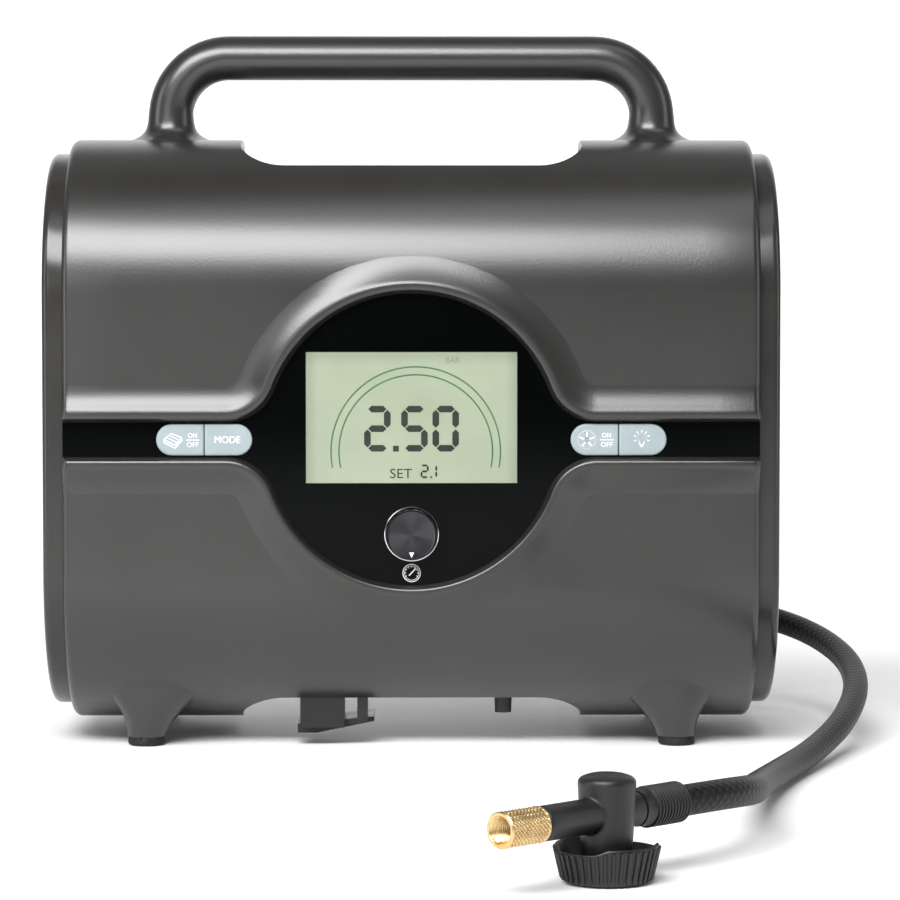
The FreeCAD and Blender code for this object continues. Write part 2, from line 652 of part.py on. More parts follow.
motor_shaft = rod("motor_shaft", "1.6", "motor_length + 23", (CRANK_X, "plate_front - 7", MOTOR_Z), "y")
motor_pinion = toothed("motor_pinion", "pinion_teeth", 1.6, 5.2,
                       (CRANK_X, "plate_front - 6.2", MOTOR_Z), pi / 2)
crank_gear = toothed("crank_gear", "gear_teeth", 3.0, 4.0, (CRANK_X, "plate_front - 5.5", "crank_height"),
                     pi / 2 + pi / 50)
crank_shaft = group("crank_shaft", [
    rod("crank_axle", "3", "plate_thick + 8.5", (CRANK_X, "plate_front - 5.5", "crank_height"), "y"),
    rod("crank_pin", "3", "3.2", (CRANK_X, "plate_front - 8.7", "crank_height + crank_throw"), "y")])


def bladed(label, hub_radius, hub_height, tip_radius, blade_size, count, tilt, bore, at, plate=0.0):
    """A fan wheel: blades round a hub, each turned about its own length."""
    thick, deep, lift = blade_size
    wheel = Part.makeCylinder(hub_radius, hub_height)
    if plate:
        wheel = wheel.fuse(Part.makeCylinder(tip_radius, plate))
    length = tip_radius - hub_radius + 1.0
    for index in range(count):
        blade = Part.makeBox(length, thick, deep, Vector(hub_radius - 1.0, -thick / 2, -deep / 2))
        blade.rotate(Vector(), Vector(1, 0, 0), tilt)
        blade.translate(Vector(0, 0, lift))
        blade.rotate(Vector(), Vector(0, 0, 1), 360 * index / count)
        wheel = wheel.fuse(blade)
    bar = Part.makeCylinder(bore, 100, Vector(0, 0, -50))
    return put(fixed(label, wheel.cut(bar)), at, "y")


cooling_fan = bladed("cooling_fan", 5.0, 6.0, 18.0, (1.2, 6.0, 3.0), 7, 40, 1.6,
                     (CRANK_X, "plate_front + plate_thick + motor_length + 5", MOTOR_Z))

cylinder = turned("cylinder",
                  [("bore_radius", "0"), ("cylinder_radius", "0"), ("cylinder_radius", "5"),
                   ("cylinder_radius - 2", "5"), ("cylinder_radius - 2", "9"), ("cylinder_radius", "9"),
                   ("cylinder_radius", "11"), ("cylinder_radius - 2", "11"), ("cylinder_radius - 2", "15"),
                   ("cylinder_radius", "15"), ("cylinder_radius", "17"), ("cylinder_radius - 2", "17"),
                   ("cylinder_radius - 2", "21"), ("cylinder_radius", "21"), ("cylinder_radius", "23"),
                   ("cylinder_radius - 2", "23"), ("cylinder_radius - 2", "27"), ("cylinder_radius", "27"),
                   ("cylinder_radius", "29"), ("cylinder_radius - 2", "29"), ("cylinder_radius - 2", "33"),
                   ("cylinder_radius", "33"), ("cylinder_radius", "cylinder_top - cylinder_bottom"),
                   ("bore_radius", "cylinder_top - cylinder_bottom")],
                  (CRANK_X, "rod_depth", "cylinder_bottom"))
cylinder_head = fuse("cylinder_head",
                     turned("head_cap",
                            [("0", "0"), ("cylinder_radius + 1.5", "0"), ("cylinder_radius + 1.5", "9"),
                             ("cylinder_radius - 1", "12"), ("0", "12")],
                            (CRANK_X, "rod_depth", "cylinder_top")),
                     rod("head_outlet", "3.6", "10", (CRANK_X, "rod_depth + 12", "cylinder_top + 6"), "y"))

piston_pin_height = evaluate("crank_height + crank_throw + rod_length")
piston = cut("piston",
             turned("piston_blank",
                    [("0", "9.5"), ("7.5", "9.5"), ("7.5", "0"), ("bore_radius - 0.3", "0"),
                     ("bore_radius - 0.3", "10.5"), ("bore_radius - 1.2", "10.5"),
                     ("bore_radius - 1.2", "12.5"), ("bore_radius - 0.3", "12.5"),
                     ("bore_radius - 0.3", "14"), ("0", "14")],
                    (CRANK_X, "rod_depth", piston_pin_height - 5)),
             rod("piston_pin_hole", "2", "24", (CRANK_X, "rod_depth - 12", piston_pin_height), "y"))
piston_seal = turned("piston_seal",
                     [("bore_radius - 1.2", "10.5"), ("bore_radius - 0.05", "10.5"),
                      ("bore_radius - 0.05", "12.5"), ("bore_radius - 1.2", "12.5")],
                     (CRANK_X, "rod_depth", piston_pin_height - 5))
piston_pin = rod("piston_pin", "2", "18", (CRANK_X, "rod_depth - 9", piston_pin_height), "y")
PIN_Z = "crank_height + crank_throw"
connecting_rod = cut("connecting_rod",
                     fuse("connecting_rod_blank",
                          rod("big_end", "6", "4", (CRANK_X, "rod_depth - 2", PIN_Z), "y"),
                          rod("small_end", "4", "4", (CRANK_X, "rod_depth - 2", piston_pin_height), "y"),
                          box("rod_shank", ("5", "4", "rod_length - 6"),
                              (CRANK_X + " - 2.5", "rod_depth - 2", PIN_Z + " + 4"))),
                     rod("big_end_eye", "3.2", "6", (CRANK_X, "rod_depth - 3", PIN_Z), "y"),
                     rod("small_end_eye", "2", "6", (CRANK_X, "rod_depth - 3", piston_pin_height), "y"))

HOSE_EXIT_Y = 15.0
HOSE_EXIT_Z = 60.0
MANIFOLD_X = -83.6
MANIFOLD_TOP = 4
air_manifold = cut("air_manifold",
                   box("manifold_block", ("14", "14", 7 + MANIFOLD_TOP),
                       (MANIFOLD_X, HOSE_EXIT_Y - 7, HOSE_EXIT_Z - 7)),
                   rod("manifold_bore", "2", "8", (MANIFOLD_X + 7, HOSE_EXIT_Y, HOSE_EXIT_Z), "x"),
                   rod("manifold_inlet", "2", "8", (MANIFOLD_X + 7, HOSE_EXIT_Y, HOSE_EXIT_Z), "z"))
pressure_sensor = box("pressure_sensor", ("8", "5", "8"),
                      (MANIFOLD_X + 3, HOSE_EXIT_Y - 12, HOSE_EXIT_Z - 4))


def rounded_path(points, share=0.45, report=None):
    """Straight runs joined by tangent arcs, each as large as its two runs allow."""
    edges = []
    radii = []
    start = points[0]
    for before, corner, after in zip(points, points[1:], points[2:]):
        first = (before - corner)
        last = (after - corner)
        half_turn = (pi - first.getAngle(last)) / 2
        tangent = share * min(first.Length, last.Length)
        radii.append(tangent / tan(half_turn))
        enter = corner + Vector(first).normalize() * tangent
        leave = corner + Vector(last).normalize() * tangent
        inward = (Vector(first).normalize() + Vector(last).normalize()).normalize()
        middle = corner + inward * (radii[-1] / cos(half_turn) - radii[-1])
        edges.append(Part.LineSegment(start, enter).toShape())
        edges.append(Part.Arc(enter, middle, leave).toShape())
        start = leave
    edges.append(Part.LineSegment(start, points[-1]).toShape())
    if report:
        print(report, "radii:", ", ".join(f"{radius:.0f}" for radius in radii))
    return Part.Wire(edges)


def tube(path, radius):
    """A round bar along a path."""
    start = path.Edges[0]
    heading = start.tangentAt(start.FirstParameter)
    section = Part.Wire(Part.makeCircle(radius, start.firstVertex().Point, heading))
    return path.makePipeShell([section], True, False)


line_x = MANIFOLD_X + 7
line_points = [Vector(-dim("lobe_middle"), dim("rod_depth") + 22, dim("cylinder_top") + 6),
               Vector(-dim("lobe_middle"), HOSE_EXIT_Y, dim("cylinder_top") + 6),
               Vector(line_x, HOSE_EXIT_Y, dim("cylinder_top") + 6),
               Vector(line_x, HOSE_EXIT_Y, HOSE_EXIT_Z + MANIFOLD_TOP)]
line_path = rounded_path(line_points)
air_line = fixed("air_line", tube(line_path, 3.0).cut(tube(line_path, 1.8)))

# ---------------------------------------------------------------- blower, right lobe

blower_motor = turned("blower_motor",
                      [("1.25", "0"), ("17", "0"), ("17", "46.5"), ("15.5", "48"), ("1.25", "48")],
                      ("lobe_middle", "-30", "blower_height"), "y")
blower_shaft = rod("blower_shaft", "1.2", "68", ("lobe_middle", "-32", "blower_height"), "y")
blower_impeller = bladed("blower_impeller", 5.0, 13.0, 22.0, (1.2, 11.0, 7.0), 9, 0, 1.2,
                         ("lobe_middle", "22.5", "blower_height"), 1.5)
blower_housing = cut("blower_housing",
                     fuse("blower_housing_blank",
                          rod("volute", "volute_radius", "22", ("lobe_middle", "18", "blower_height"), "y"),
                          box("duct", ("27.5", "22", "port_height - blower_height + 15"),
                              ("lobe_middle - 0.5", "18", "blower_height")),
                          box("plenum", ("30", "22", "30"), ("port_reach - 15", "18", "port_height - 15"))),
                     rod("volute_hollow", "volute_radius - 2.5", "17",
                         ("lobe_middle", "20.5", "blower_height"), "y"),
                     box("duct_hollow", ("12", "17", "port_height - blower_height + 5"),
                         ("lobe_middle + 12.5", "20.5", "blower_height")),
                     box("plenum_hollow", ("25", "17", "25"),
                         ("port_reach - 12.5", "20.5", "port_height - 12.5")),
                     rod("shaft_passage", "1.3", "10", ("lobe_middle", "15", "blower_height"), "y"),
                     rod("air_inlet", "11", "10", ("lobe_middle", "35", "blower_height"), "y"),
                     rod("port_passage", "port_bore + 0.6", "10", ("port_reach", "35", "port_height"), "y"))
blower_port = turned("blower_port",
                     [("port_bore", "0"), ("port_bore + 2.5", "0"), ("port_bore + 2.5", "port_end - 43"),
                      ("port_bore + 5.5", "port_end - 43"), ("port_bore + 5.5", "port_end - 40.8"),
                      ("port_bore + 4.7", "port_end - 40"), ("port_bore", "port_end - 40")],
                     ("port_reach", "40", "port_height"), "y")

# ---------------------------------------------------------------- lamp, inlet and stowage

lamp_board = fuse("lamp_board",
                  rod("lamp_disc", "13", "1.6", (cap_end - 9, "0", LAMP_HEIGHT), "x"),
                  *[box(f"lamp_led_{number}", ("1.2", "3", "3"),
                        (cap_end - 7.5, 6.5 * cos(number * pi / 3) - 1.5,
                         LAMP_HEIGHT + 6.5 * sin(number * pi / 3) - 1.5))
                    for number in range(6)])
lamp_lens = turned("lamp_lens",
                   [("0", "2"), (LAMP_RADIUS - 2, "2"), (LAMP_RADIUS - 2, "0"), (LAMP_RADIUS + 2, "0"),
                    (LAMP_RADIUS + 2, "2"), (LAMP_RADIUS, "2"), (LAMP_RADIUS, "4"),
                    (LAMP_RADIUS - 0.6, "4.5"), ("0", "4.5")],
                   (cap_end - 4.5, "0", LAMP_HEIGHT), "x")

INLET_MOUTH = 64.2
inlet_shell = cut("power_inlet",
                  fuse("power_inlet_blank",
                       box("inlet_flange", ("2.5", "28", "22"), (INLET_MOUTH, "11", "49")),
                       box("inlet_case", ("16", "21.6", "15.6"), (INLET_MOUTH, "14.2", "52.2"))),
                  box("inlet_hollow", ("12", "18", "12"), (INLET_MOUTH - 0.5, "16", "54")))
inlet_pins = group("inlet_pins", [
    rod(f"inlet_pin_{number}", "1.2", "9", (INLET_MOUTH + 11.5, y, "60"), "-x")
    for number, y in enumerate((20.7, 29.3), start=1)])

recess_floor = dim("recess_floor")
cleat_base = Part.makeBox(34, 2.5, 26, Vector(-46, recess_floor, 20))
cleat_posts = [Part.makeBox(17, 20, 20, Vector(-43, recess_floor, 7)),
               Part.makeBox(4, 20, 18, Vector(-21, recess_floor, 9))]
flange_corners = [(-44, 4.9), (-36.5, 4.9), (-14.5, 9.4), (-14.5, 11.2), (-44, 8.4)]
flange_face = Part.Face(Part.makePolygon([Vector(x, recess_floor + 1, z)
                                          for x, z in flange_corners + flange_corners[:1]]))
cleat_flange = flange_face.extrude(Vector(0, 23, 0))
cable_cleat = fixed("cable_cleat", cleat_base.multiFuse(cleat_posts + [cleat_flange]))

NOZZLE_X = 35.4
NOZZLE_Y = -38.5
nozzle_clip = cut("nozzle_clip",
                  fuse("nozzle_clip_blank",
                       box("clip_base", ("16", "2.5", "12"), (NOZZLE_X - 8, "recess_floor", "22")),
                       rod("clip_ring", "7.2", "9", (NOZZLE_X, NOZZLE_Y, "25"), "z")),
                  rod("clip_bore", "5.0", "20", (NOZZLE_X, NOZZLE_Y, "20"), "z"),
                  box("clip_mouth", ("6.5", "10", "20"), (NOZZLE_X - 3.25, NOZZLE_Y, "20")))
nozzle_adapter = turned("nozzle_adapter",
                        [("1.5", "0"), ("3.2", "0"), ("3.4", "6"), ("4.9", "12"), ("4.9", "22.5"),
                         ("6.4", "22.5"), ("6.4", "30"), ("4.2", "32"), ("1.5", "32")],
                        (NOZZLE_X, NOZZLE_Y, "12.2"))

# ---------------------------------------------------------------- hose and tyre head

# The head's axis runs level from the hose to the brass nut, turned towards the front left.
HEAD_X = 59.0
HEAD_Y = -357.0
HEAD_TURN = 225.57
head_axis = Vector(cos(HEAD_TURN * pi / 180), sin(HEAD_TURN * pi / 180), 0)
head_turn = Rotation(Vector(0, 0, 1), head_axis)
head_height = dim("head_height")
NUT_AT = 30.5
SPIGOT_END = 35.5
COLLAR_END = -13.0
collar_start = COLLAR_END - dim("collar_length")
head_middle = Vector(HEAD_X, HEAD_Y, head_height)
hose_end = head_middle + head_axis * collar_start
GLAND_FRONT = -52.0


def along(distance):
    """A place on the head's axis, from the middle of the head towards the nut."""
    return (HEAD_X + head_axis.x * distance, HEAD_Y + head_axis.y * distance, "head_height")


hose_gland = turned("hose_gland",
                    [("0", "0"), ("6.9", "0"), ("6.9", "2.9"), ("9.5", "2.9"), ("9.5", "6.0"),
                     ("7.6", "7.6"), ("6.4", "17.6"), ("0", "17.6")],
                    (GLAND_FRONT - 17.6, HOSE_EXIT_Y, HOSE_EXIT_Z), "x")

hose_route = [
    Vector(GLAND_FRONT, HOSE_EXIT_Y, HOSE_EXIT_Z),
    Vector(-26, HOSE_EXIT_Y, HOSE_EXIT_Z),
    Vector(2, 26, 58.5),
    Vector(28, 48, 55.5),
    Vector(54, 80, 51),
    Vector(90, 98, 46),
    Vector(130, 93, 41),
    Vector(160, 65, 35.5),
    Vector(175, 27, 28),
    Vector(176.5, -15, 20.5),
    Vector(166, -62, 12),
    Vector(149, -108, 6.2),
    Vector(133, -152, 5.3),
    Vector(121.5, -200, 8),
    Vector(114, -248, 13),
    Vector(110, -288, 18),
    hose_end - head_axis * 24,
    hose_end,
]
hose_radius = dim("hose_radius")
hose_path = rounded_path(hose_route, report="hose")
hose_shape = tube(hose_path, hose_radius)
hose_section = pi * hose_radius ** 2
print("hose length", round(hose_path.Length, 1), "lowest", round(hose_shape.BoundBox.ZMin, 2))
print("volume", round(hose_shape.Volume), "section times length", round(hose_section * hose_path.Length))
air_hose = fixed("air_hose", hose_shape)

RIBS = 10
rib_step = (dim("collar_length") - 2) / RIBS
collar_profile = [("0", "0")]
for index in range(RIBS):
    base = round(index * rib_step, 3)
    collar_profile += [("collar_radius", base), ("collar_radius", round(base + 0.6 * rib_step, 3)),
                       ("collar_radius - 0.9", round(base + 0.6 * rib_step, 3)),
                       ("collar_radius - 0.9", round(base + rib_step, 3))]
collar_profile += [("collar_radius", round(RIBS * rib_step, 3)), ("collar_radius", "collar_length"),
                   ("0", "collar_length")]
hose_collar = turned("hose_collar", collar_profile, along(collar_start), head_turn)

BRANCH_BACK = -20
branch_end = NUT_AT - 0.2 - BRANCH_BACK
branch_start = COLLAR_END - BRANCH_BACK
spigot = SPIGOT_END - BRANCH_BACK
hose_head = fuse("hose_head",
                 turned("head_barrel",
                        [("0", "0"), ("head_foot_radius", "0"), ("head_radius", "25.6"),
                         ("head_radius - 1.2", "28.1"), ("head_radius - 4", "29.8"), ("0", "30.3")],
                        (HEAD_X, HEAD_Y, "cup_floor + 0.6"), "z"),
                 turned("head_branch",
                        [("0", branch_start), ("branch_radius", branch_start), ("branch_radius", branch_end),
                         ("3.0", branch_end), ("3.0", spigot), ("0", spigot)],
                        along(BRANCH_BACK), head_turn),
                 rod("thumb_stem", "3", "4", (HEAD_X, HEAD_Y, "0.6"), "z"))
brass_nut = turned("brass_nut",
                   [("3.05", "0"), ("nut_radius - 0.4", "0"), ("nut_radius", "0.5"),
                    ("nut_radius", "nut_length - 0.5"), ("nut_radius - 0.4", "nut_length"),
                    ("nut_bore", "nut_length"), ("nut_bore", "9.8"), ("3.4", "9.8"), ("3.4", "4.7"),
                    ("3.05", "4.7")],
                   along(NUT_AT), head_turn)
valve_pin = turned("valve_pin", [("0", "0"), ("0.9", "0"), ("0.9", "4.6"), ("0", "4.6")],
                   along(SPIGOT_END), head_turn)
nut_seal = turned("nut_seal", [("0.9", "0"), ("3.1", "0"), ("3.1", "1.8"), ("0.9", "1.8")],
                  along(SPIGOT_END), head_turn)

# The thumb wheel: a cup that opens upwards round the head's foot, ribbed for the fingers.
thumb_radius = dim("thumb_radius")
thumb_height = dim("thumb_height")
cup_floor = dim("cup_floor")
CUP_TAPER = 2.6
CUP_WALL = 1.8
RIBS_ROUND = 36
LIFT = 0.3
wheel = Part.makeCone(thumb_radius - CUP_TAPER, thumb_radius, thumb_height - LIFT, Vector(0, 0, LIFT))
cup = Part.makeCone(thumb_radius - CUP_TAPER - CUP_WALL, thumb_radius - CUP_WALL, thumb_height - cup_floor,
                    Vector(0, 0, cup_floor + LIFT))
wheel = wheel.cut([cup, Part.makeCylinder(3.05, 40, Vector(0, 0, -5))])
grooves = []
for index in range(RIBS_ROUND):
    angle = 2 * pi * index / RIBS_ROUND
    outward = Vector(cos(angle), sin(angle), 0)
    slope = Vector(CUP_TAPER * outward.x, CUP_TAPER * outward.y, thumb_height)
    start = outward * (thumb_radius - CUP_TAPER + 0.35)
    grooves.append(Part.makeCylinder(0.8, 2 * thumb_height, start - slope * 0.5, slope))
thumb_wheel = put(fixed("thumb_wheel", wheel.cut(grooves)), (HEAD_X, HEAD_Y, "0"))

# ---------------------------------------------------------------- check and write

doc.recompute()

SUBPARTS = [
    front_shell, recess_liner, left_rear_shell, right_rear_shell, left_end_cap, right_end_cap,
    handle, foot_pads, shell_screws,
    display_lens, lcd_panel, lcd_frame, control_board, board_screws, tact_switches,
    buttons["mattress_button"], buttons["mode_button"], buttons["tyre_button"], buttons["lamp_button"],
    pressure_knob, knob_trim_ring, encoder, encoder_shaft,
    compressor_frame, crank_bush, compressor_motor, motor_shaft, motor_pinion, cooling_fan,
    crank_gear, crank_shaft, cylinder, cylinder_head, piston, piston_seal, piston_pin,
    connecting_rod, air_manifold, pressure_sensor, air_line,
    blower_motor, blower_shaft, blower_impeller, blower_housing, blower_port,
    lamp_board, lamp_lens, inlet_shell, inlet_pins, cable_cleat, nozzle_clip, nozzle_adapter,
    hose_gland, air_hose, hose_collar, hose_head, brass_nut, valve_pin, nut_seal, thumb_wheel,
]

for item in doc.Objects:
    if "Invalid" in item.State or "Error" in item.State:
        raise RuntimeError(f"{item.Label} did not build: {item.State}")
for piece in SUBPARTS:
    if piece.Shape.isNull() or not piece.Shape.isValid() or not piece.Shape.Solids:
        raise RuntimeError(f"{piece.Label} has no sound shape")

os.makedirs("parts", exist_ok=True)
for piece in SUBPARTS:
    piece.Shape.exportStep(f"parts/{piece.Label}.step")
print(len(SUBPARTS), "sub-parts written")
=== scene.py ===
import math

import bmesh
import bpy
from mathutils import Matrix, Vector


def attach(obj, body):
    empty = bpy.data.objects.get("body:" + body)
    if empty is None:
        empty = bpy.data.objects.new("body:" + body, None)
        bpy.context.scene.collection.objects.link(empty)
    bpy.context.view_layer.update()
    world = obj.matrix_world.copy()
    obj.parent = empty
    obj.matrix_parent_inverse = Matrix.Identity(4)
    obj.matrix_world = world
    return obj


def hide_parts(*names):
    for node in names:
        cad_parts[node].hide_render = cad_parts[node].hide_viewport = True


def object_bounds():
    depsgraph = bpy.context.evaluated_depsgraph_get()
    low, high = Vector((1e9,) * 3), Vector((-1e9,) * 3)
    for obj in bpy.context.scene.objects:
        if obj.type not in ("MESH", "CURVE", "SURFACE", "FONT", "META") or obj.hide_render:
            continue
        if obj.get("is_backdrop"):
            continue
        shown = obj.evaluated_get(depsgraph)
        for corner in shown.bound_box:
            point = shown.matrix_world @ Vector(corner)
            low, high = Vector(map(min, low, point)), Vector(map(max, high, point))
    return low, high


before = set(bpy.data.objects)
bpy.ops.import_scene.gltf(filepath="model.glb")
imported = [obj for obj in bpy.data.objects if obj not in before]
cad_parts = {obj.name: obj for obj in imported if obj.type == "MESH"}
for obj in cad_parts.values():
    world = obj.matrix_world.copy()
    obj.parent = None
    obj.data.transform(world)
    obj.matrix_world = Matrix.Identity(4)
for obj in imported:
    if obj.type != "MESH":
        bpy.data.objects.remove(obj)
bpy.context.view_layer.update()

# ------------------------------------------------------------------ camera, floor and lamps
# A plain studio: a long lens 1.4 m from the gauge, a white painted sweep under and behind
# the object, and large soft boxes that show the curve of the casing.

SENSOR_MM = 36.0
LENS_MM = 148.6
PANEL_PLANE = -0.072
CAMERA_DISTANCE = 1.400
CAMERA_HEIGHT = 0.191
CAMERA_CLIP = 20
LOOK_DOWN = math.radians(3.0816)
LOOK_RIGHT = math.radians(0.5938)

camera_data = bpy.data.cameras.new("camera")
camera_data.sensor_width = SENSOR_MM
camera_data.lens = LENS_MM
camera_data.clip_end = CAMERA_CLIP
camera = bpy.data.objects.new("camera", camera_data)
camera.location = (0, PANEL_PLANE - CAMERA_DISTANCE, CAMERA_HEIGHT)
camera.rotation_euler = (math.pi / 2 - LOOK_DOWN, 0, -LOOK_RIGHT)
bpy.context.scene.collection.objects.link(camera)
bpy.context.scene.camera = camera


def hex_colour(text):
    """Linear RGBA from an sRGB hex value such as 3a3937."""
    channels = [int(text[i:i + 2], 16) / 255 for i in (0, 2, 4)]
    linear = [c / 12.92 if c <= 0.04045 else ((c + 0.055) / 1.055) ** 2.4 for c in channels]
    return (*linear, 1.0)


def add_node(tree, kind, inputs=None, **settings):
    """Add a node, with its settings and its inputs: a value, or another node's output."""
    made = tree.nodes.new(kind)
    for name, value in settings.items():
        setattr(made, name, value)
    for key, value in (inputs or {}).items():
        if isinstance(value, bpy.types.NodeSocket):
            tree.links.new(value, made.inputs[key])
        else:
            made.inputs[key].default_value = value
    return made


def maths(tree, operation, first, second=0.0):
    """The result of a sum on values or other nodes' outputs."""
    return add_node(tree, "ShaderNodeMath", {0: first, 1: second}, operation=operation).outputs[0]


def new_material(name, **values):
    """A material with a Principled shader, whose sockets are set from values."""
    material = bpy.data.materials.new(name)
    material.use_nodes = True
    tree = material.node_tree
    shader = tree.nodes["Principled BSDF"]
    for key, value in values.items():
        shader.inputs[key.replace("_", " ")].default_value = value
    return material, tree, shader


def grained(name, dark, light, patch_mm, rough, grain_mm=None, relief=0.0, **values):
    """A material that drifts between two tones, with a range of roughness and a fine grain."""
    material, tree, shader = new_material(name, **values)
    place = add_node(tree, "ShaderNodeTexCoord")
    drift = add_node(tree, "ShaderNodeTexNoise",
                     {"Vector": place.outputs["Object"], "Scale": 1000 / patch_mm, "Detail": 4.0})
    tone = add_node(tree, "ShaderNodeValToRGB", {"Fac": drift.outputs["Fac"]})
    tone.color_ramp.elements[0].position = 0.3
    tone.color_ramp.elements[0].color = hex_colour(dark)
    tone.color_ramp.elements[1].position = 0.7
    tone.color_ramp.elements[1].color = hex_colour(light)
    tree.links.new(tone.outputs["Color"], shader.inputs["Base Color"])
    gloss = add_node(tree, "ShaderNodeMapRange",
                     {"Value": drift.outputs["Fac"], "From Min": 0.3, "From Max": 0.7,
                      "To Min": rough[0], "To Max": rough[1]})
    tree.links.new(gloss.outputs["Result"], shader.inputs["Roughness"])
    if grain_mm:
        grain = add_node(tree, "ShaderNodeTexNoise",
                         {"Vector": place.outputs["Object"], "Scale": 1000 / grain_mm, "Detail": 2.0})
        bump = add_node(tree, "ShaderNodeBump",
                        {"Strength": relief, "Distance": 0.0001, "Height": grain.outputs["Fac"]})
        tree.links.new(bump.outputs["Normal"], shader.inputs["Normal"])
    return material


def finish_mesh(shape, material, smooth_angle=35):
    """Merge doubles, turn faces outwards, shade smooth and give the one material."""
    mesh = shape.data
    work = bmesh.new()
    work.from_mesh(mesh)
    bmesh.ops.remove_doubles(work, verts=work.verts, dist=1e-6)
    bmesh.ops.recalc_face_normals(work, faces=work.faces)
    work.to_mesh(mesh)
    work.free()
    mesh.shade_smooth()
    mesh.set_sharp_from_angle(angle=math.radians(smooth_angle))
    mesh.materials.clear()
    mesh.materials.append(material)


def mesh_object(name, points, faces, material, smooth_angle=35):
    """A mesh object at the origin, smooth except across edges sharper than the angle."""
    mesh = bpy.data.meshes.new(name)
    mesh.from_pydata([tuple(p) for p in points], [], faces)
    mesh.validate()
    shape = bpy.data.objects.new(name, mesh)
    bpy.context.scene.collection.objects.link(shape)
    finish_mesh(shape, material, smooth_angle)
    return shape


def angles(turn, steps, start=0.0):
    """Even steps through a turn, with both ends."""
    return [start + turn * k / steps for k in range(steps + 1)]


def round_angles(steps):
    """Even steps round a full circle."""
    return [2 * math.pi * k / steps for k in range(steps)]


# Matt white paint, rolled on board.
floor_paint = grained("white_studio_floor", "f6f6f5", "f9f9f9", 400, (0.7, 0.8), Specular_IOR_Level=0.25)
SWEEP_HALF = 4.0
SWEEP_BACK = 1.6
SWEEP_RADIUS = 0.8
SWEEP_TOP = 3.0
outline = [(-SWEEP_HALF, 0.0), (0.0, 0.0)]
outline += [(SWEEP_BACK + SWEEP_RADIUS * math.sin(a), SWEEP_RADIUS * (1 - math.cos(a)))
            for a in angles(math.pi / 2, 12)]
outline.append((SWEEP_BACK + SWEEP_RADIUS, SWEEP_TOP))
points = [(x, y, z) for y, z in outline for x in (-SWEEP_HALF, SWEEP_HALF)]
faces = [(2 * i, 2 * i + 1, 2 * i + 3, 2 * i + 2) for i in range(len(outline) - 1)]
mesh_object("studio_floor", points, faces, floor_paint)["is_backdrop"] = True


def soft_box(name, place, aim, size, watts):
    """A rectangular soft light at a place, aimed at a point."""
    data = bpy.data.lights.new(name, "AREA")
    data.shape = "RECTANGLE"
    data.size, data.size_y = size
    data.energy = watts
    lamp = bpy.data.objects.new(name, data)
    lamp.location = place
    lamp.rotation_euler = (Vector(aim) - Vector(place)).to_track_quat("-Z", "Y").to_euler()
    bpy.context.scene.collection.objects.link(lamp)


middle = (0, 0, 0.12)
soft_box("key_softbox", (-0.5, -1.45, 1.36), middle, (1.6, 0.8), 60)
soft_box("front_fill", (-0.9, -2.4, 0.6), middle, (1.0, 0.6), 4)
soft_box("left_strip", (-1.5, -0.5, 0.45), middle, (0.4, 1.1), 5)
soft_box("right_strip", (1.45, -0.35, 0.5), middle, (0.4, 1.1), 3)
soft_box("top_box", (0.0, 0.75, 1.7), (0, 0.2, 0), (2.2, 0.8), 1)
soft_box("floor_wash", (0.5, -0.9, 2.2), (0.2, -0.4, 0), (2.0, 0.8), 7)
soft_box("back_wash", (0, 0.9, 1.6), (0, 2.4, 0.6), (3.0, 0.8), 36)

WORLD_GLOW = 0.12
world = bpy.data.worlds.new("studio")
world.use_nodes = True
backdrop = world.node_tree.nodes["Background"]
backdrop.inputs["Color"].default_value = hex_colour("ffffff")
backdrop.inputs["Strength"].default_value = WORLD_GLOW
bpy.context.scene.world = world
bpy.context.scene.view_settings.view_transform = "Standard"

# ------------------------------------------------------------------ front shell
# The front half of the casing, injection moulded in dark grey ABS with a fine spark-eroded
# grain. A raised lip with a hollow outer slope runs round the gauge panel.

MM = 0.001
BODY_LOW = 8.0
BODY_TOP = 234.0
BODY_DEEP = 72.0
CORNER = 60.0
HALF_LONG = 132.0
END_ROUND = 3.0
SKIN = 2.8
ARC_STEPS = 30
PANEL_Z = 119.5
LENS_RADIUS = 55.0
STRIP_HALF = 6.4
STRIP_FILLET = 20.0

abs_plastic = grained("moulded_abs", "222120", "262524", 45, (0.285, 0.30), 0.9, 0.3, Specular_IOR_Level=0.75)


def section(inset, side):
    """Half of the casing's outline, from underneath to the top, moved inwards."""
    radius = CORNER - inset
    inner = BODY_DEEP - CORNER
    points = [(0, BODY_LOW + inset), (inner / 2, BODY_LOW + inset)]
    points += [(inner + radius * math.sin(a), BODY_LOW + CORNER - radius * math.cos(a))
               for a in angles(math.pi / 2, ARC_STEPS)]
    points += [(BODY_DEEP - inset, z) for z in (84, 100, PANEL_Z, 139, 156)]
    points += [(inner + radius * math.cos(a), BODY_TOP - CORNER + radius * math.sin(a))
               for a in angles(math.pi / 2, ARC_STEPS)]
    points += [(inner / 2, BODY_TOP - inset), (0, BODY_TOP - inset)]
    return [(side * y, z) for y, z in points]


def end_stations(sign):
    """Places from the middle of an end wall's rim over its rounding, as (x, inset)."""
    wall = [(sign * HALF_LONG, inset) for inset in (12.0, 8.0, 5.0)]
    return wall + [(sign * (HALF_LONG - END_ROUND + END_ROUND * math.cos(a)), END_ROUND * (1 - math.sin(a)))
                   for a in angles(math.pi / 2, 6)]


def applied(shape, smooth_angle=35):
    """Replace an object's mesh by what its modifiers make of it."""
    bpy.context.view_layer.update()
    material = shape.data.materials[0]
    mesh = bpy.data.meshes.new_from_object(shape.evaluated_get(bpy.context.evaluated_depsgraph_get()))
    shape.modifiers.clear()
    shape.data = mesh
    finish_mesh(shape, material, smooth_angle)
    return shape


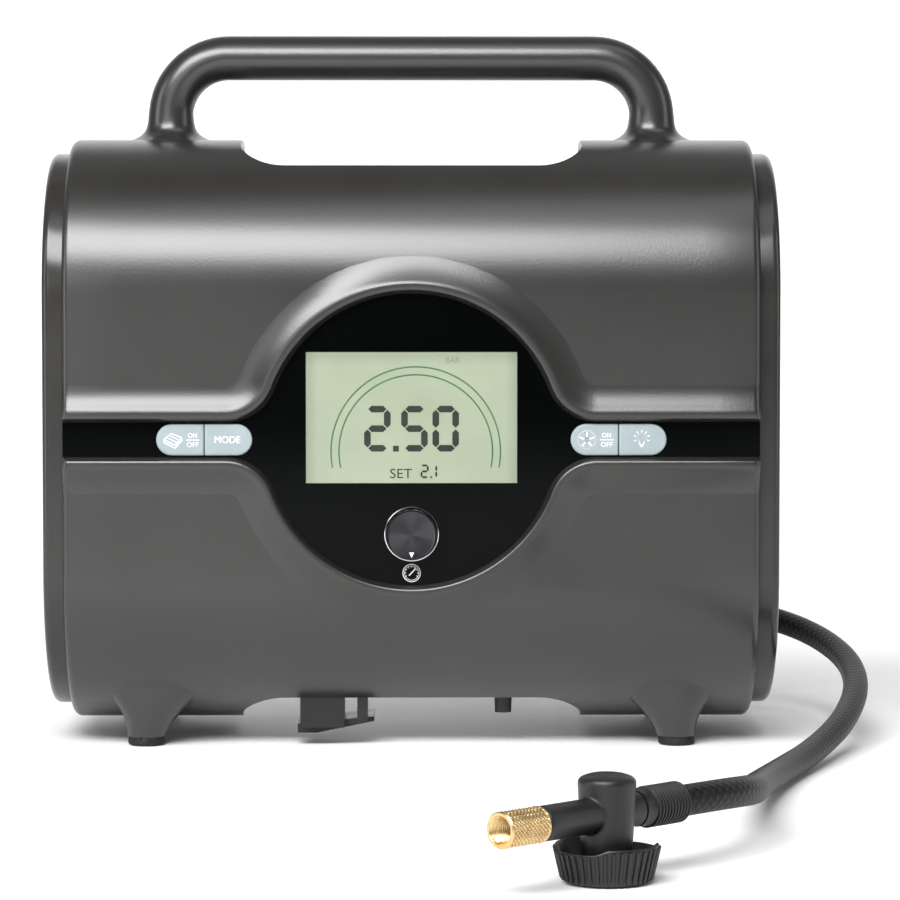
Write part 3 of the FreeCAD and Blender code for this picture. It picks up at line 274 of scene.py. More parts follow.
def skin_faces(rows, count, closed=True):
    """Four-sided faces between rows of points; a closed row joins its last point to its first."""
    return [(row * count + i, row * count + (i + 1) % count, (row + 1) * count + (i + 1) % count,
             (row + 1) * count + i) for row in range(rows - 1) for i in range(count if closed else count - 1)]


def fitted(shape, body, node):
    """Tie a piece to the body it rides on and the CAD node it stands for."""
    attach(shape, body)
    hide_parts(node)
    return shape


def casing_skin(name, side, stations):
    """One moulded half: the outline carried along the stations, then thickened inwards."""
    rings = [[Vector((x, y, z)) * MM for y, z in section(inset, side)] for x, inset in stations]
    points = [p for ring in rings for p in ring]
    shape = mesh_object(name, points, skin_faces(len(rings), len(rings[0]), False), abs_plastic)
    if sum(p.normal.y * p.area for p in shape.data.polygons) * side < 0:
        shape.data.flip_normals()
    thicken = shape.modifiers.new("wall", "SOLIDIFY")
    thicken.thickness = SKIN * MM
    thicken.offset = -1
    return applied(shape)


def prism(ring, shift):
    """A straight block to cut with, from a flat outline of points and the way to its other end."""
    points = [Vector(p) * MM for p in ring] + [(Vector(p) + Vector(shift)) * MM for p in ring]
    count = len(ring)
    faces = [tuple(range(count)), tuple(range(2 * count - 1, count - 1, -1))]
    faces += [(i, (i + 1) % count, (i + 1) % count + count, i + count) for i in range(count)]
    return mesh_object("cutter", points, faces, abs_plastic)


def disc(centre, radius, sides=64):
    """A ring of points that faces forwards."""
    return [(centre[0] + radius * math.cos(a), centre[1], centre[2] + radius * math.sin(a))
            for a in round_angles(sides)]


def carved(shape, cutters, smooth_angle=35):
    """Take other pieces away from one."""
    for cutter in cutters:
        take = shape.modifiers.new("cut", "BOOLEAN")
        take.operation = "DIFFERENCE"
        take.solver = "EXACT"
        take.object = cutter
    applied(shape, smooth_angle)
    for cutter in cutters:
        bpy.data.objects.remove(cutter)
    return shape


def together(name, pieces, smooth_angle=35):
    """One object from several meshes that share a material."""
    work = bmesh.new()
    for piece in pieces:
        work.from_mesh(piece.data)
    mesh = bpy.data.meshes.new(name)
    work.to_mesh(mesh)
    work.free()
    shape = bpy.data.objects.new(name, mesh)
    bpy.context.scene.collection.objects.link(shape)
    finish_mesh(shape, pieces[0].data.materials[0], smooth_angle)
    for piece in pieces:
        bpy.data.objects.remove(piece)
    return shape


def panel_line(grow, upper):
    """The panel's upper or lower outline from left to right, moved outwards, as (x, z)."""
    rise = STRIP_HALF + STRIP_FILLET
    reach = math.sqrt((LENS_RADIUS + STRIP_FILLET) ** 2 - rise ** 2)
    lean = math.atan2(rise, reach)
    bend = STRIP_FILLET - grow
    ends = [-HALF_LONG + END_ROUND * (1 - math.sin(a)) for a in angles(-math.pi / 2, 6, math.pi / 2)]
    left = [(x, STRIP_HALF + grow) for x in ends + [-115, -95]]
    left += [(-reach + bend * math.sin(a), rise - bend * math.cos(a))
             for a in angles(math.pi / 2 - lean, 12)]
    arc = [((LENS_RADIUS + grow) * -math.cos(a), (LENS_RADIUS + grow) * math.sin(a))
           for a in angles(math.pi - 2 * lean, 72, lean)[1:-1]]
    line = left + arc + [(-x, z) for x, z in reversed(left)]
    return [(x, PANEL_Z + (z if upper else -z)) for x, z in line]


def surface_y(z):
    """Depth of the casing's front at a height."""
    beyond = max(0.0, abs(z - (BODY_LOW + BODY_TOP) / 2) - ((BODY_TOP - BODY_LOW) / 2 - CORNER))
    return -(BODY_DEEP - CORNER) - math.sqrt(CORNER ** 2 - beyond ** 2)


CASING_SMOOTH = 32
CREST = 3.0
SLOPE_FROM = 4.4
SLOPE_TO = 15.4
lip_profile = [(0.15, -68.6), (0.15, -71.2), (0.8, -72.9), (1.35, -74.3), (1.6, -74.75), (2.0, -74.95),
               (2.5, -75.0), (3.6, -75.0), (4.1, -74.97)]
slope_profile = [SLOPE_FROM + (SLOPE_TO - SLOPE_FROM) * (k / 12) for k in range(1, 13)]


def lip(name, upper):
    """Half of the raised lip: its profile carried along the panel's outline."""
    columns = [[(x, y, z) for x, z in panel_line(grow, upper)] for grow, y in lip_profile]
    for grow in slope_profile:
        share = (grow - SLOPE_FROM) / (SLOPE_TO - SLOPE_FROM)
        lift = CREST * (1 - share) ** 2 - 0.08 * share ** 4
        columns.append([(x, surface_y(z) - lift, z) for x, z in panel_line(grow, upper)])
    columns.append([(x, surface_y(z) + 1.4, z) for x, z in panel_line(SLOPE_TO - 0.2, upper)])
    columns.append([(x, -68.4, z) for x, z in panel_line(8.0, upper)])
    rings = []
    for row in range(len(columns[0])):
        ring = []
        for column in columns:
            x, y, z = column[row]
            over = max(0.0, abs(x) - (HALF_LONG - END_ROUND)) / END_ROUND
            ring.append(Vector((x, y + END_ROUND * (1 - math.sqrt(max(0.0, 1 - over ** 2))), z)) * MM)
        rings.append(ring)
    count = len(columns)
    points = [p for ring in rings for p in ring]
    faces = [tuple(range(count)), tuple(range(len(points) - 1, len(points) - 1 - count, -1))]
    return mesh_object(name, points, faces + skin_faces(len(rings), count), abs_plastic, CASING_SMOOTH)


def recess_cutter():
    """The storage recess behind the casing, open at the top, the bottom and the rear."""
    floor, corner, half = -46.0, 17.0, 66.0
    ring = [(half + 2, 92.0)]
    ring += [(half - corner + corner * math.cos(a), floor + corner - corner * math.sin(a))
             for a in angles(math.pi / 2, 10)]
    ring += [(-x, y) for x, y in reversed(ring)]
    return prism([(x, y, -10) for x, y in ring], (0, 0, 280))


def loft(name, rings, material, smooth_angle=35):
    """A skin over rings of points; each ring is closed, and so are the two ends."""
    count = len(rings[0])
    points = [p for ring in rings for p in ring]
    faces = skin_faces(len(rings), count)
    for base, ring in ((0, rings[0]), ((len(rings) - 1) * count, rings[-1])):
        points.append(sum((Vector(p) for p in ring), Vector()) / count)
        hub = len(points) - 1
        faces += [(base + i, base + (i + 1) % count, hub) for i in range(count)]
    return mesh_object(name, points, faces, material, smooth_angle)


FOOT_Y = 42


def foot(x_sign, y_sign):
    """A foot that flares out of the casing's underside: (height, half width, half depth, reach)."""
    stations = [(3.5, 7.3, 7.3, 102.5), (7.0, 8.2, 8.2, 101.8), (9.5, 9.3, 9.1, 101.3),
                (12, 10.8, 9.9, 100.8), (14.5, 12.7, 10.6, 100.4), (17, 15.0, 11.2, 99.9),
                (20, 17.8, 11.7, 99.3), (23, 20.4, 12.0, 98.7), (26, 22.6, 12.9, 98.2),
                (29, 24.2, 14.6, 97.7)]
    rings = [[Vector((x_sign * reach + wide * math.cos(a), y_sign * FOOT_Y + deep * math.sin(a), z)) * MM
              for a in round_angles(48)] for z, wide, deep, reach in stations]
    return loft("foot", rings, abs_plastic, 40)


SEAT_GROW = 9.0
SEAT_BACK = -69.6
BUTTON_STEMS = (-87.25, -69.15, 69.15, 87.25)
across = end_stations(-1) + [(-110 + 20 * k, 0.0) for k in range(12)] + list(reversed(end_stations(1)))
front_skin = casing_skin("front_skin", -1, across)
seat = panel_line(SEAT_GROW, True) + list(reversed(panel_line(SEAT_GROW, False)))
seat = [(x * 1.02 if abs(x) > HALF_LONG - 0.5 else x, z) for x, z in seat]
cutters = [prism([(x, -80, z) for x, z in seat], (0, 80 + SEAT_BACK, 0)),
           prism(disc((0, -73, PANEL_Z), LENS_RADIUS - 2.5), (0, 10, 0)),
           recess_cutter()]
cutters += [prism(disc((x, -73, PANEL_Z), 2.5, 32), (0, 10, 0))
            for x in BUTTON_STEMS]
carved(front_skin, cutters, CASING_SMOOTH)
front_pieces = [front_skin, lip("upper_lip", True), lip("lower_lip", False), foot(-1, -1), foot(1, -1)]
fitted(together("front_casing_shell", front_pieces, CASING_SMOOTH), "casing", "front_shell")

# ------------------------------------------------------------------ rear shells and recess liner
# The back of each lobe is a moulding of the same ABS, screwed to the front from behind. A
# thin liner between them makes the storage recess.

rear_stations = [(62, 0.0), (84, 0.0), (106, 0.0)] + list(reversed(end_stations(1)))
for label, sign in (("right", 1), ("left", -1)):
    skin = casing_skin(label + "_rear_skin", 1, [(sign * x, inset) for x, inset in rear_stations])
    cutters = [recess_cutter()]
    if label == "right":
        cutters.append(prism(disc((112, 50, 152), 13.6), (0, 40, 0)))
    cutters += [prism(disc((sign * x, 40, z), 3.6, 32), (0, 50, 0))
                for x in (77, 122) for z in (34, 212)]
    carved(skin, cutters, CASING_SMOOTH)
    fitted(together(label + "_rear_casing_shell", [skin, foot(sign, 1)], CASING_SMOOTH),
           "casing", label + "_rear_shell")


def from_cad(name, node, body, material):
    """A finished piece with the exact shape of a CAD node, shaded smooth over its rounded edges."""
    shape = bpy.data.objects.new(name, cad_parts[node].data.copy())
    bpy.context.scene.collection.objects.link(shape)
    finish_mesh(shape, material, CASING_SMOOTH)
    even = shape.modifiers.new("even_shading", "WEIGHTED_NORMAL")
    even.keep_sharp = True
    return fitted(shape, body, node)


from_cad("storage_recess_liner", "recess_liner", "casing", abs_plastic)

# ------------------------------------------------------------------ end caps
# Gloss ABS covers with vent slots hide the end walls and the screws' bosses; they clip in
# and show fine handling marks.

gloss_plastic = grained("gloss_abs", "272625", "2c2b2a", 60, (0.16, 0.26), 3.0, 0.04, Specular_IOR_Level=0.5)
from_cad("left_vented_end_cap", "left_end_cap", "casing", gloss_plastic)
from_cad("right_vented_end_cap", "right_end_cap", "casing", gloss_plastic)

# ------------------------------------------------------------------ handle
# A gas-assisted hollow moulding in the same ABS: a round grip with two bends, whose legs
# flare where they stand on the casing.

LEG_X = 94.8
GRIP_Z = 266.5
BEND = 23.0
GRIP_RADIUS = 8.75
FLARE_HIGH = 12.0


def rings_along(line, radius_at, sides):
    """Rings round a path that don't twist, with a radius for each step."""
    rings = []
    lengths = [0.0]
    for a, b in zip(line, line[1:]):
        lengths.append(lengths[-1] + (b - a).length)
    heading = (line[1] - line[0]).normalized()
    side = heading.orthogonal().normalized()
    for i, place in enumerate(line):
        ahead = (line[min(i + 1, len(line) - 1)] - line[max(i - 1, 0)]).normalized()
        side = (side - ahead * side.dot(ahead)).normalized()
        up = ahead.cross(side)
        radius = radius_at(place, lengths[i])
        rings.append([place + (side * math.cos(a) + up * math.sin(a)) * radius
                      for a in round_angles(sides)])
    return rings, lengths


def grip_radius(place, length):
    """Radius of the handle: even along the grip, flared over the foot of each leg."""
    share = max(0.0, 1 - max(0.0, place.z / MM - BODY_TOP) / FLARE_HIGH)
    return (GRIP_RADIUS + 0.9 * share + 6.6 * share ** 5) * MM


leg = [(-LEG_X, BODY_TOP - 1), (-LEG_X, BODY_TOP)] + [(-LEG_X, BODY_TOP + 0.6 * k) for k in range(1, 16)]
bend = [(-LEG_X + BEND * (1 - math.cos(a)), GRIP_Z - BEND + BEND * math.sin(a))
        for a in angles(math.pi / 2, 16)]
half = leg + bend + [(-50, GRIP_Z), (-25, GRIP_Z)]
whole = half + [(0, GRIP_Z)] + [(-x, z) for x, z in reversed(half)]
handle_line = [Vector((x, 0, z)) * MM for x, z in whole]
handle = loft("carrying_handle", rings_along(handle_line, grip_radius, 56)[0], abs_plastic, 40)
fitted(handle, "casing", "handle")

# ------------------------------------------------------------------ foot pads
# Black EPDM rubber plugs pressed into the feet.

epdm = grained("epdm_rubber", "141414", "1f1f1f", 6, (0.6, 0.8), 0.5, 0.3, Specular_IOR_Level=0.35)
from_cad("rubber_foot_pads", "foot_pads", "casing", epdm)

# ------------------------------------------------------------------ casing screws
# Zinc-plated pan-head screws, deep in the rear pillars.

zinc = grained("zinc_plated_steel", "8f9092", "b4b5b6", 4, (0.25, 0.45), 0.3, 0.1, Metallic=1.0)
from_cad("casing_screws", "shell_screws", "casing", zinc)

# ------------------------------------------------------------------ panel lens
# A sheet of black cast acrylic over the whole panel, polished, with windows for the display
# and the buttons.

acrylic = grained("black_acrylic", "030404", "050606", 80, (0.03, 0.07), Specular_IOR_Level=0.06)


def paint(material, *nodes):
    """Give CAD nodes that keep their own shape a material."""
    for node in nodes:
        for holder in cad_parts[node].material_slots:
            holder.material = material


paint(acrylic, "display_lens")

# ------------------------------------------------------------------ display
# A reflective liquid crystal cell: grey-green polariser behind glass, with dark segments,
# a double scale arc and small fixed words. Painted shade darkens the cell's colour towards its sides and top
# edge.

LCD_FRONT = -71.0
LCD_X = 39.85
LCD_TOP = 152.55
cell = grained("lcd_polariser", "8c9680", "949e88", 25, (0.30, 0.36), 0.25, 0.05, Specular_IOR_Level=0.4,
               Coat_Weight=0.5, Coat_Roughness=0.12)
tree = cell.node_tree
shader = tree.nodes["Principled BSDF"]
body_colour = shader.inputs["Base Color"].links[0].from_socket
# Painted shade: the cell's colour darkens to 80 % towards its side edges and to 82 % towards its top edge.
place = add_node(tree, "ShaderNodeTexCoord")
split = add_node(tree, "ShaderNodeSeparateXYZ", {"Vector": place.outputs["Object"]})
aside = maths(tree, "ABSOLUTE", split.outputs["X"])
painted_side_shade = add_node(tree, "ShaderNodeMapRange",
                     {"Value": aside, "From Min": (LCD_X - 5) * MM, "From Max": LCD_X * MM,
                      "To Min": 1.0, "To Max": 0.80}, interpolation_type="SMOOTHSTEP")
painted_top_shade = add_node(tree, "ShaderNodeMapRange",
                    {"Value": split.outputs["Z"], "From Min": (LCD_TOP - 6) * MM, "From Max": LCD_TOP * MM,
                     "To Min": 1.0, "To Max": 0.82}, interpolation_type="SMOOTHSTEP")
painted_edge_shade = maths(tree, "MULTIPLY", painted_side_shade.outputs[0], painted_top_shade.outputs[0])
shaded = add_node(tree, "ShaderNodeMix", {6: body_colour, 7: painted_edge_shade, 0: 1.0}, data_type="RGBA",
                  blend_type="MULTIPLY")
tree.links.new(shaded.outputs[2], shader.inputs["Base Color"])
paint(cell, "lcd_panel")

ink = grained("lcd_segment", "232a24", "2b332c", 8, (0.3, 0.4), Specular_IOR_Level=0.3)
faint_ink = grained("lcd_faint_segment", "6c7563", "747d6a", 8, (0.3, 0.4), Specular_IOR_Level=0.3)
green_ink = grained("lcd_green_scale", "47714c", "527d57", 8, (0.3, 0.4), Specular_IOR_Level=0.3)


INK_THICK = 0.04
INK_SUNK = 0.02


def printed(name, shapes, front, material, body="casing"):
    """Flat marks of one ink, each an outline of (x, z), standing a hair in front of a surface."""
    points = []
    faces = []
    for shape in shapes:
        base = len(points)
        count = len(shape)
        points += [Vector((x, front - INK_THICK, z)) * MM for x, z in shape]
        points += [Vector((x, front + INK_SUNK, z)) * MM for x, z in shape]
        faces += [tuple(range(base, base + count)),
                  tuple(range(base + 2 * count - 1, base + count - 1, -1))]
        faces += [(base + i, base + (i + 1) % count, base + (i + 1) % count + count, base + i + count)
                  for i in range(count)]
    mark = mesh_object(name, points, faces, material, 10)
    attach(mark, body)
    return mark


def stroke(path, width, close=False):
    """Quadrilaterals along a line of (x, z), as wide as a pen."""
    shapes = []
    ends = path + path[:1] if close else path
    for a, b in zip(ends, ends[1:]):
        way = Vector(b) - Vector(a)
        side = Vector((-way.y, way.x)).normalized() * width / 2
        on = way.normalized() * width * 0.25
        start, end = Vector(a) - on, Vector(b) + on
        shapes.append([tuple(start + side), tuple(start - side), tuple(end - side), tuple(end + side)])
    return shapes


def circle(x, z, radius, steps=28, start=0.0, turn=2 * math.pi):
    """Points round part of a circle."""
    return [(x + radius * math.cos(a), z + radius * math.sin(a)) for a in angles(turn, steps, start)]


SEGMENTS = {"0": "abcdef", "1": "bc", "2": "abged", "5": "afgcd"}


def digit(sign, left, low, wide, high, pen):
    """One seven-segment digit with pointed bars and thin gaps."""
    half = pen / 2
    gap = pen * 0.12
    bars = {"a": ((half, high - half), (wide - half, high - half)), "d": ((half, half), (wide - half, half)),
            "g": ((half, high / 2), (wide - half, high / 2)),
            "f": ((half, high / 2), (half, high - half)), "e": ((half, half), (half, high / 2)),
            "b": ((wide - half, high / 2), (wide - half, high - half)),
            "c": ((wide - half, half), (wide - half, high / 2))}
    shapes = []
    for bar in SEGMENTS[sign]:
        a, b = (Vector(p) for p in bars[bar])
        way = (b - a).normalized()
        side = Vector((-way.y, way.x)) * half
        a += way * gap
        b -= way * gap
        start, end = a + way * half, b - way * half
        outline = [a, start + side, end + side, b, end - side, start - side]
        shapes.append([(left + p.x, low + p.y) for p in outline])
    return shapes


READING_LOW = 115.0
SETTING_LOW = 104.9
reading = []
for sign, left in (("2", -17.9), ("5", -3.9), ("0", 7.9)):
    reading += digit(sign, left, READING_LOW, 10.0, 17.3, 2.5)
for sign, left in (("2", 3.4), ("1", 6.6)):
    reading += digit(sign, left, SETTING_LOW, 3.1, 5.2, 0.75)
for left, low, size in ((-7.0, READING_LOW, 2.2), (7.1, SETTING_LOW, 0.7)):
    reading.append([(left, low), (left + size, low), (left + size, low + size), (left, low + size)])
printed("display_reading", reading, LCD_FRONT, ink)
SCALE_LOW = 109
scale = []
for radius in (32.0, 29.0):
    low_turn = math.asin((SCALE_LOW - READING_LOW) / radius)
    scale += stroke(circle(1.6, READING_LOW, radius, 90, low_turn, math.pi - 2 * low_turn), 0.55)
printed("display_scale_arc", scale, LCD_FRONT, green_ink)


def lettering(name, text, box, front, material, slot, body="casing"):
    """Plain words drawn into a box of (left, low, right, top)."""
    curve = bpy.data.curves.new(name, "FONT")
    curve.body = text
    curve.resolution_u = 4
    curve.extrude = 0.5
    drawn = bpy.data.objects.new(name + "_drawn", curve)
    bpy.context.scene.collection.objects.link(drawn)
    bpy.context.view_layer.update()
    mesh = bpy.data.meshes.new_from_object(drawn.evaluated_get(bpy.context.evaluated_depsgraph_get()))
    bpy.data.objects.remove(drawn)
    lows = [min(v.co[i] for v in mesh.vertices) for i in (0, 1)]
    highs = [max(v.co[i] for v in mesh.vertices) for i in (0, 1)]
    left, low, right, top = box
    for v in mesh.vertices:
        across = (v.co.x - lows[0]) / (highs[0] - lows[0])
        rise = (v.co.y - lows[1]) / (highs[1] - lows[1])
        v.co = Vector((left + (right - left) * across, front + (-INK_THICK if v.co.z > 0 else INK_SUNK),
                       low + (top - low) * rise)) * MM
    words = bpy.data.objects.new(name, mesh)
    bpy.context.scene.collection.objects.link(words)
    finish_mesh(words, material, 10)
    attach(words, body)
    return words


lettering("display_word_set", "SET", (-8.1, 104.9, 0.2, 108.5), LCD_FRONT, ink, "display_glass")
lettering("display_word_bar", "BAR", (13.0, 148.5, 18.3, 150.7), LCD_FRONT, faint_ink, "display_glass")

# ------------------------------------------------------------------ setting knob
# Turned aluminium, anodised black: a spun face that shines in two cones, a polished edge
# and a finely knurled side. A small white triangle marks the dial's place.

KNOB = Vector((0, -71.2, 83.8)) * MM
FRONT = Vector((0, -1, 0))


def turned(name, profile, start, axis, material, sides=72, smooth_angle=35, wave=None):
    """A turned piece: (radius, height) pairs in mm round an axis, with an optional wavy radius."""
    side = axis.orthogonal().normalized()
    over = axis.cross(side)
    rings = []
    for radius, height in profile:
        ring = []
        for turn in round_angles(sides):
            reach = radius if wave is None else wave(radius, height, turn)
            outward = side * math.cos(turn) + over * math.sin(turn)
            ring.append(start + (axis * height + outward * reach) * MM)
        rings.append(ring)
    return loft(name, rings, material, smooth_angle)


def ring_solid(name, profile, start, axis, material, sides=72, smooth_angle=35, wave=None):
    """A turned ring: its outline is closed, so the skin joins its last ring to its first."""
    shape = turned(name, profile + profile[:1], start, axis, material, sides, smooth_angle, wave)
    work = bmesh.new()
    work.from_mesh(shape.data)
    hub = [v for v in work.verts if (v.co - start).cross(axis).length < 1e-6]
    bmesh.ops.delete(work, geom=hub, context="VERTS")
    bmesh.ops.remove_doubles(work, verts=work.verts, dist=1e-6)
    bmesh.ops.recalc_face_normals(work, faces=work.faces)
    work.to_mesh(shape.data)
    work.free()
    shape.data.shade_smooth()
    shape.data.set_sharp_from_angle(angle=math.radians(smooth_angle))
    return shape


anodised, tree, shader = new_material("black_anodised_aluminium", Metallic=1.0, Roughness=0.28,
                                      Anisotropic=0.9)
place = add_node(tree, "ShaderNodeTexCoord")
centred = add_node(tree, "ShaderNodeVectorMath", {0: place.outputs["Object"], 1: (0, 0, KNOB.z)},
                   operation="SUBTRACT")
flat = add_node(tree, "ShaderNodeVectorMath", {0: centred.outputs[0], 1: (1, 0, 1)}, operation="MULTIPLY")
away = add_node(tree, "ShaderNodeVectorMath", {0: flat.outputs[0]}, operation="LENGTH")
groove = add_node(tree, "ShaderNodeTexNoise", {"W": away.outputs["Value"], "Scale": 5200.0, "Detail": 3.0},
                  noise_dimensions="1D")
tone = add_node(tree, "ShaderNodeValToRGB", {"Fac": groove.outputs["Fac"]})
tone.color_ramp.elements[0].color = hex_colour("262627")
tone.color_ramp.elements[1].color = hex_colour("56565a")
tree.links.new(tone.outputs["Color"], shader.inputs["Base Color"])
round_about = add_node(tree, "ShaderNodeTangent", direction_type="RADIAL", axis="Y")
tree.links.new(round_about.outputs["Tangent"], shader.inputs["Tangent"])
KNOB_FLUTES = 90


def knurled_side(radius, height, turn):
    """Fine straight knurl on the knob's side."""
    if 9.2 < radius < 9.75 and 0.8 < height < 6.3:
        return radius - 0.12 + 0.12 * math.cos(KNOB_FLUTES * turn)
    return radius


knob_profile = [(0, 0.4), (9.3, 0.4), (9.3, 0.7), (9.6, 0.95), (9.6, 6.15), (9.3, 6.35), (9.35, 6.75),
                (8.95, 7.2), (8.6, 7.12), (8.4, 7.1), (4.0, 7.1), (0, 7.1)]
knob = turned("setting_knob_cap", knob_profile, KNOB, FRONT, anodised, 360, 28, knurled_side)
fitted(knob, "setting_knob", "pressure_knob")

white_ink = grained("white_pad_print", "e9ebea", "f4f6f5", 10, (0.45, 0.55))


def white_print(name, marks, front, body):
    """White marks: outlines of (x, z), or a word with the box it fills."""
    if isinstance(marks[0], str):
        return lettering(name, *marks, front, white_ink, "button_plastic", body)
    return printed(name, marks, front, white_ink, body)


white_print("knob_pointer", [[(-0.95, 77.35), (0.95, 77.35), (0.0, 75.3)]], -78.3, "setting_knob")
chrome = grained("polished_chrome", "c4c6c8", "dcdee0", 12, (0.08, 0.16), Metallic=1.0)
rim_profile = [(9.7, 0), (10.5, 0), (10.45, 0.5), (10.3, 0.85), (10.0, 0.9), (9.72, 0.6)]
rim = ring_solid("bright_trim_ring", rim_profile, KNOB, FRONT, chrome, 96)
fitted(rim, "casing", "knob_trim_ring")
LENS_FRONT = -71.2


def rays(x, z, near, far, turns, width):
    """Short strokes out of a point, one for each angle."""
    lines = [[(x + reach * math.cos(a), z + reach * math.sin(a)) for reach in (near, far)] for a in turns]
    return [quad for line in lines for quad in stroke(line, width)]


gauge_icon = stroke(circle(0.0, 69.0, 3.3, 40), 0.35) + stroke(circle(0.0, 69.0, 2.7, 36), 0.18)
gauge_icon += stroke([(-0.9, 68.1), (1.5, 70.7)], 0.4)
gauge_icon += rays(0, 69, 2.1, 2.55, [math.radians(-30 + 30 * k) for k in range(9)], 0.2)
white_print("gauge_symbol", gauge_icon, LENS_FRONT, "casing")

# ------------------------------------------------------------------ push buttons
# Two pairs of satin grey ABS keys, moulded with softened edges and printed white. Each is
# held off its switch by its own spring.

key_plastic = grained("button_abs", "8e9a9e", "95a1a5", 18, (0.42, 0.5), 0.6, 0.06, Specular_IOR_Level=0.5)
KEY_Z = 119.5
KEY_HALF_HIGH = 5.95
KEY_REACH = 78.2
KEY_HALF_PAIR = 18.1
KEY_FRONT = -72.2
KEY_BACK = -70.4
KEY_SPLIT = 0.15
KEY_EDGE = 0.5


def key_outline(side, half, inset):
    """Half a pill: round at its outer end, nearly square where it meets its neighbour."""
    radius = KEY_HALF_HIGH - inset
    centre = side * KEY_REACH + half * (KEY_HALF_PAIR - KEY_HALF_HIGH)
    inner = side * KEY_REACH + half * (KEY_SPLIT + inset)
    points = [(centre + half * radius * math.cos(a), KEY_Z + radius * math.sin(a))
              for a in angles(math.pi, 24, -math.pi / 2)]
    return points + [(inner + half * 0.3, KEY_Z + radius), (inner, KEY_Z + radius - 0.3),
                     (inner, KEY_Z - radius + 0.3), (inner + half * 0.3, KEY_Z - radius)]


def key(name, node, body, side, half):
    """One push button with its stem."""
    rings = []
    for depth, inset in ((KEY_BACK, 0.0), (KEY_FRONT + KEY_EDGE, 0.0), (KEY_FRONT + 0.25, 0.1),
                         (KEY_FRONT + 0.08, 0.28), (KEY_FRONT, KEY_EDGE), (KEY_FRONT, 1.2)):
        rings.append([Vector((x, depth, z)) * MM for x, z in key_outline(side, half, inset)])
    cap = loft(name + "_cap", rings, key_plastic, 40)
    stem_x = side * KEY_REACH + half * KEY_HALF_PAIR / 2
    stem = turned(name + "_stem", [(0, 0), (2, 0), (2, 6.2), (0, 6.2)], Vector((stem_x, -70.7, KEY_Z)) * MM,
                  -FRONT, key_plastic, 32)
    fitted(together(name, [cap, stem], 40), body, node)


key("air_bed_key", "mattress_button", "mattress_key", -1, -1)
key("mode_select_key", "mode_button", "mode_key", -1, 1)
key("tyre_select_key", "tyre_button", "tyre_key", 1, -1)
key("lamp_switch_key", "lamp_button", "lamp_key", 1, 1)

bed = stroke([(-93.4, 119.6), (-90.6, 121.9), (-86.6, 120.3), (-89.2, 117.5)], 0.4, True)
bed += stroke([(-93.4, 119.6), (-93.4, 118.6), (-89.2, 116.4), (-86.6, 119.2), (-86.6, 120.3)], 0.4)
bed += stroke([(-92.0, 120.2), (-88.6, 118.6)], 0.3) + stroke([(-91.0, 121.0), (-87.6, 119.4)], 0.3)
white_print("air_bed_symbol", bed, KEY_FRONT, "mattress_key")
wheel_icon = stroke(circle(66.2, 119.5, 3.25, 36), 0.6) + stroke(circle(66.2, 119.5, 0.8, 16), 0.4)
wheel_icon += rays(66.2, 119.5, 0.9, 3.0, angles(2 * math.pi, 5, math.pi / 2)[:-1], 0.55)
white_print("tyre_symbol", wheel_icon, KEY_FRONT, "tyre_key")
bulb = stroke(circle(86.9, 120.1, 1.55, 24, math.radians(-50), math.radians(280)), 0.36)
bulb += stroke([(86.2, 117.6), (87.6, 117.6)], 0.4) + stroke([(86.4, 117.0), (87.4, 117.0)], 0.3)
bulb += stroke([(85.9, 118.9), (86.2, 118.0)], 0.36) + stroke([(87.9, 118.9), (87.6, 118.0)], 0.36)
bulb += rays(86.9, 120.1, 2.3, 3.0, angles(math.radians(220), 6, math.radians(-20)), 0.32)
white_print("lamp_symbol", bulb, KEY_FRONT, "lamp_key")
white_print("mode_word", ("MODE", (-74.2, 118.3, -64.6, 120.9)), KEY_FRONT, "mode_key")
for label, left, body in (("air_bed", -84.9, "mattress_key"), ("tyre", 71.3, "tyre_key")):
    for part, marks in (("on", ("ON", (left + 0.6, 120.3, left + 4.0, 122.1))),
                        ("off", ("OFF", (left + 0.2, 116.8, left + 4.6, 118.6))),
                        ("line", stroke([(left, 119.45), (left + 4.8, 119.45)], 0.25))):
        white_print(label + "_word_" + part, marks, KEY_FRONT, body)

# ------------------------------------------------------------------ lamp, blower port and power inlet
# A frosted polycarbonate lens over six diodes in the right cap; black nylon fittings for the
# air bed's hose and the power lead. They push in from inside.

nylon = grained("glass_filled_nylon", "0d0d0d", "171717", 9, (0.36, 0.52), 0.6, 0.25, Specular_IOR_Level=0.5)
frosted, tree, shader = new_material("frosted_polycarbonate", Roughness=0.35, Transmission_Weight=0.75)
place = add_node(tree, "ShaderNodeTexCoord")
mist = add_node(tree, "ShaderNodeTexNoise",
                {"Vector": place.outputs["Object"], "Scale": 1500.0, "Detail": 2.0})
tone = add_node(tree, "ShaderNodeValToRGB", {"Fac": mist.outputs["Fac"]})
tone.color_ramp.elements[0].color = hex_colour("d3d8dc")
tone.color_ramp.elements[1].color = hex_colour("f0f3f5")
tree.links.new(tone.outputs["Color"], shader.inputs["Base Color"])
bump = add_node(tree, "ShaderNodeBump", {"Strength": 0.4, "Distance": 0.0001, "Height": mist.outputs["Fac"]})
tree.links.new(bump.outputs["Normal"], shader.inputs["Normal"])
from_cad("frosted_lamp_lens", "lamp_lens", "casing", frosted)
from_cad("air_bed_blower_port", "blower_port", "casing", nylon)
from_cad("recessed_power_inlet", "power_inlet", "casing", nylon)

# ------------------------------------------------------------------ cleat, clip and spare nozzle
# Nylon fittings in the recess: a cleat for the power lead, and a clip that holds a tapered
# nozzle for balls and air beds.

from_cad("cord_cleat", "cable_cleat", "casing", nylon)
from_cad("spare_nozzle_clip", "nozzle_clip", "casing", nylon)
from_cad("spare_inflation_nozzle", "nozzle_adapter", "casing", nylon)

# ------------------------------------------------------------------ circuit boards and switches
# Glass-epoxy boards under green solder resist, with copper pads that show through it.

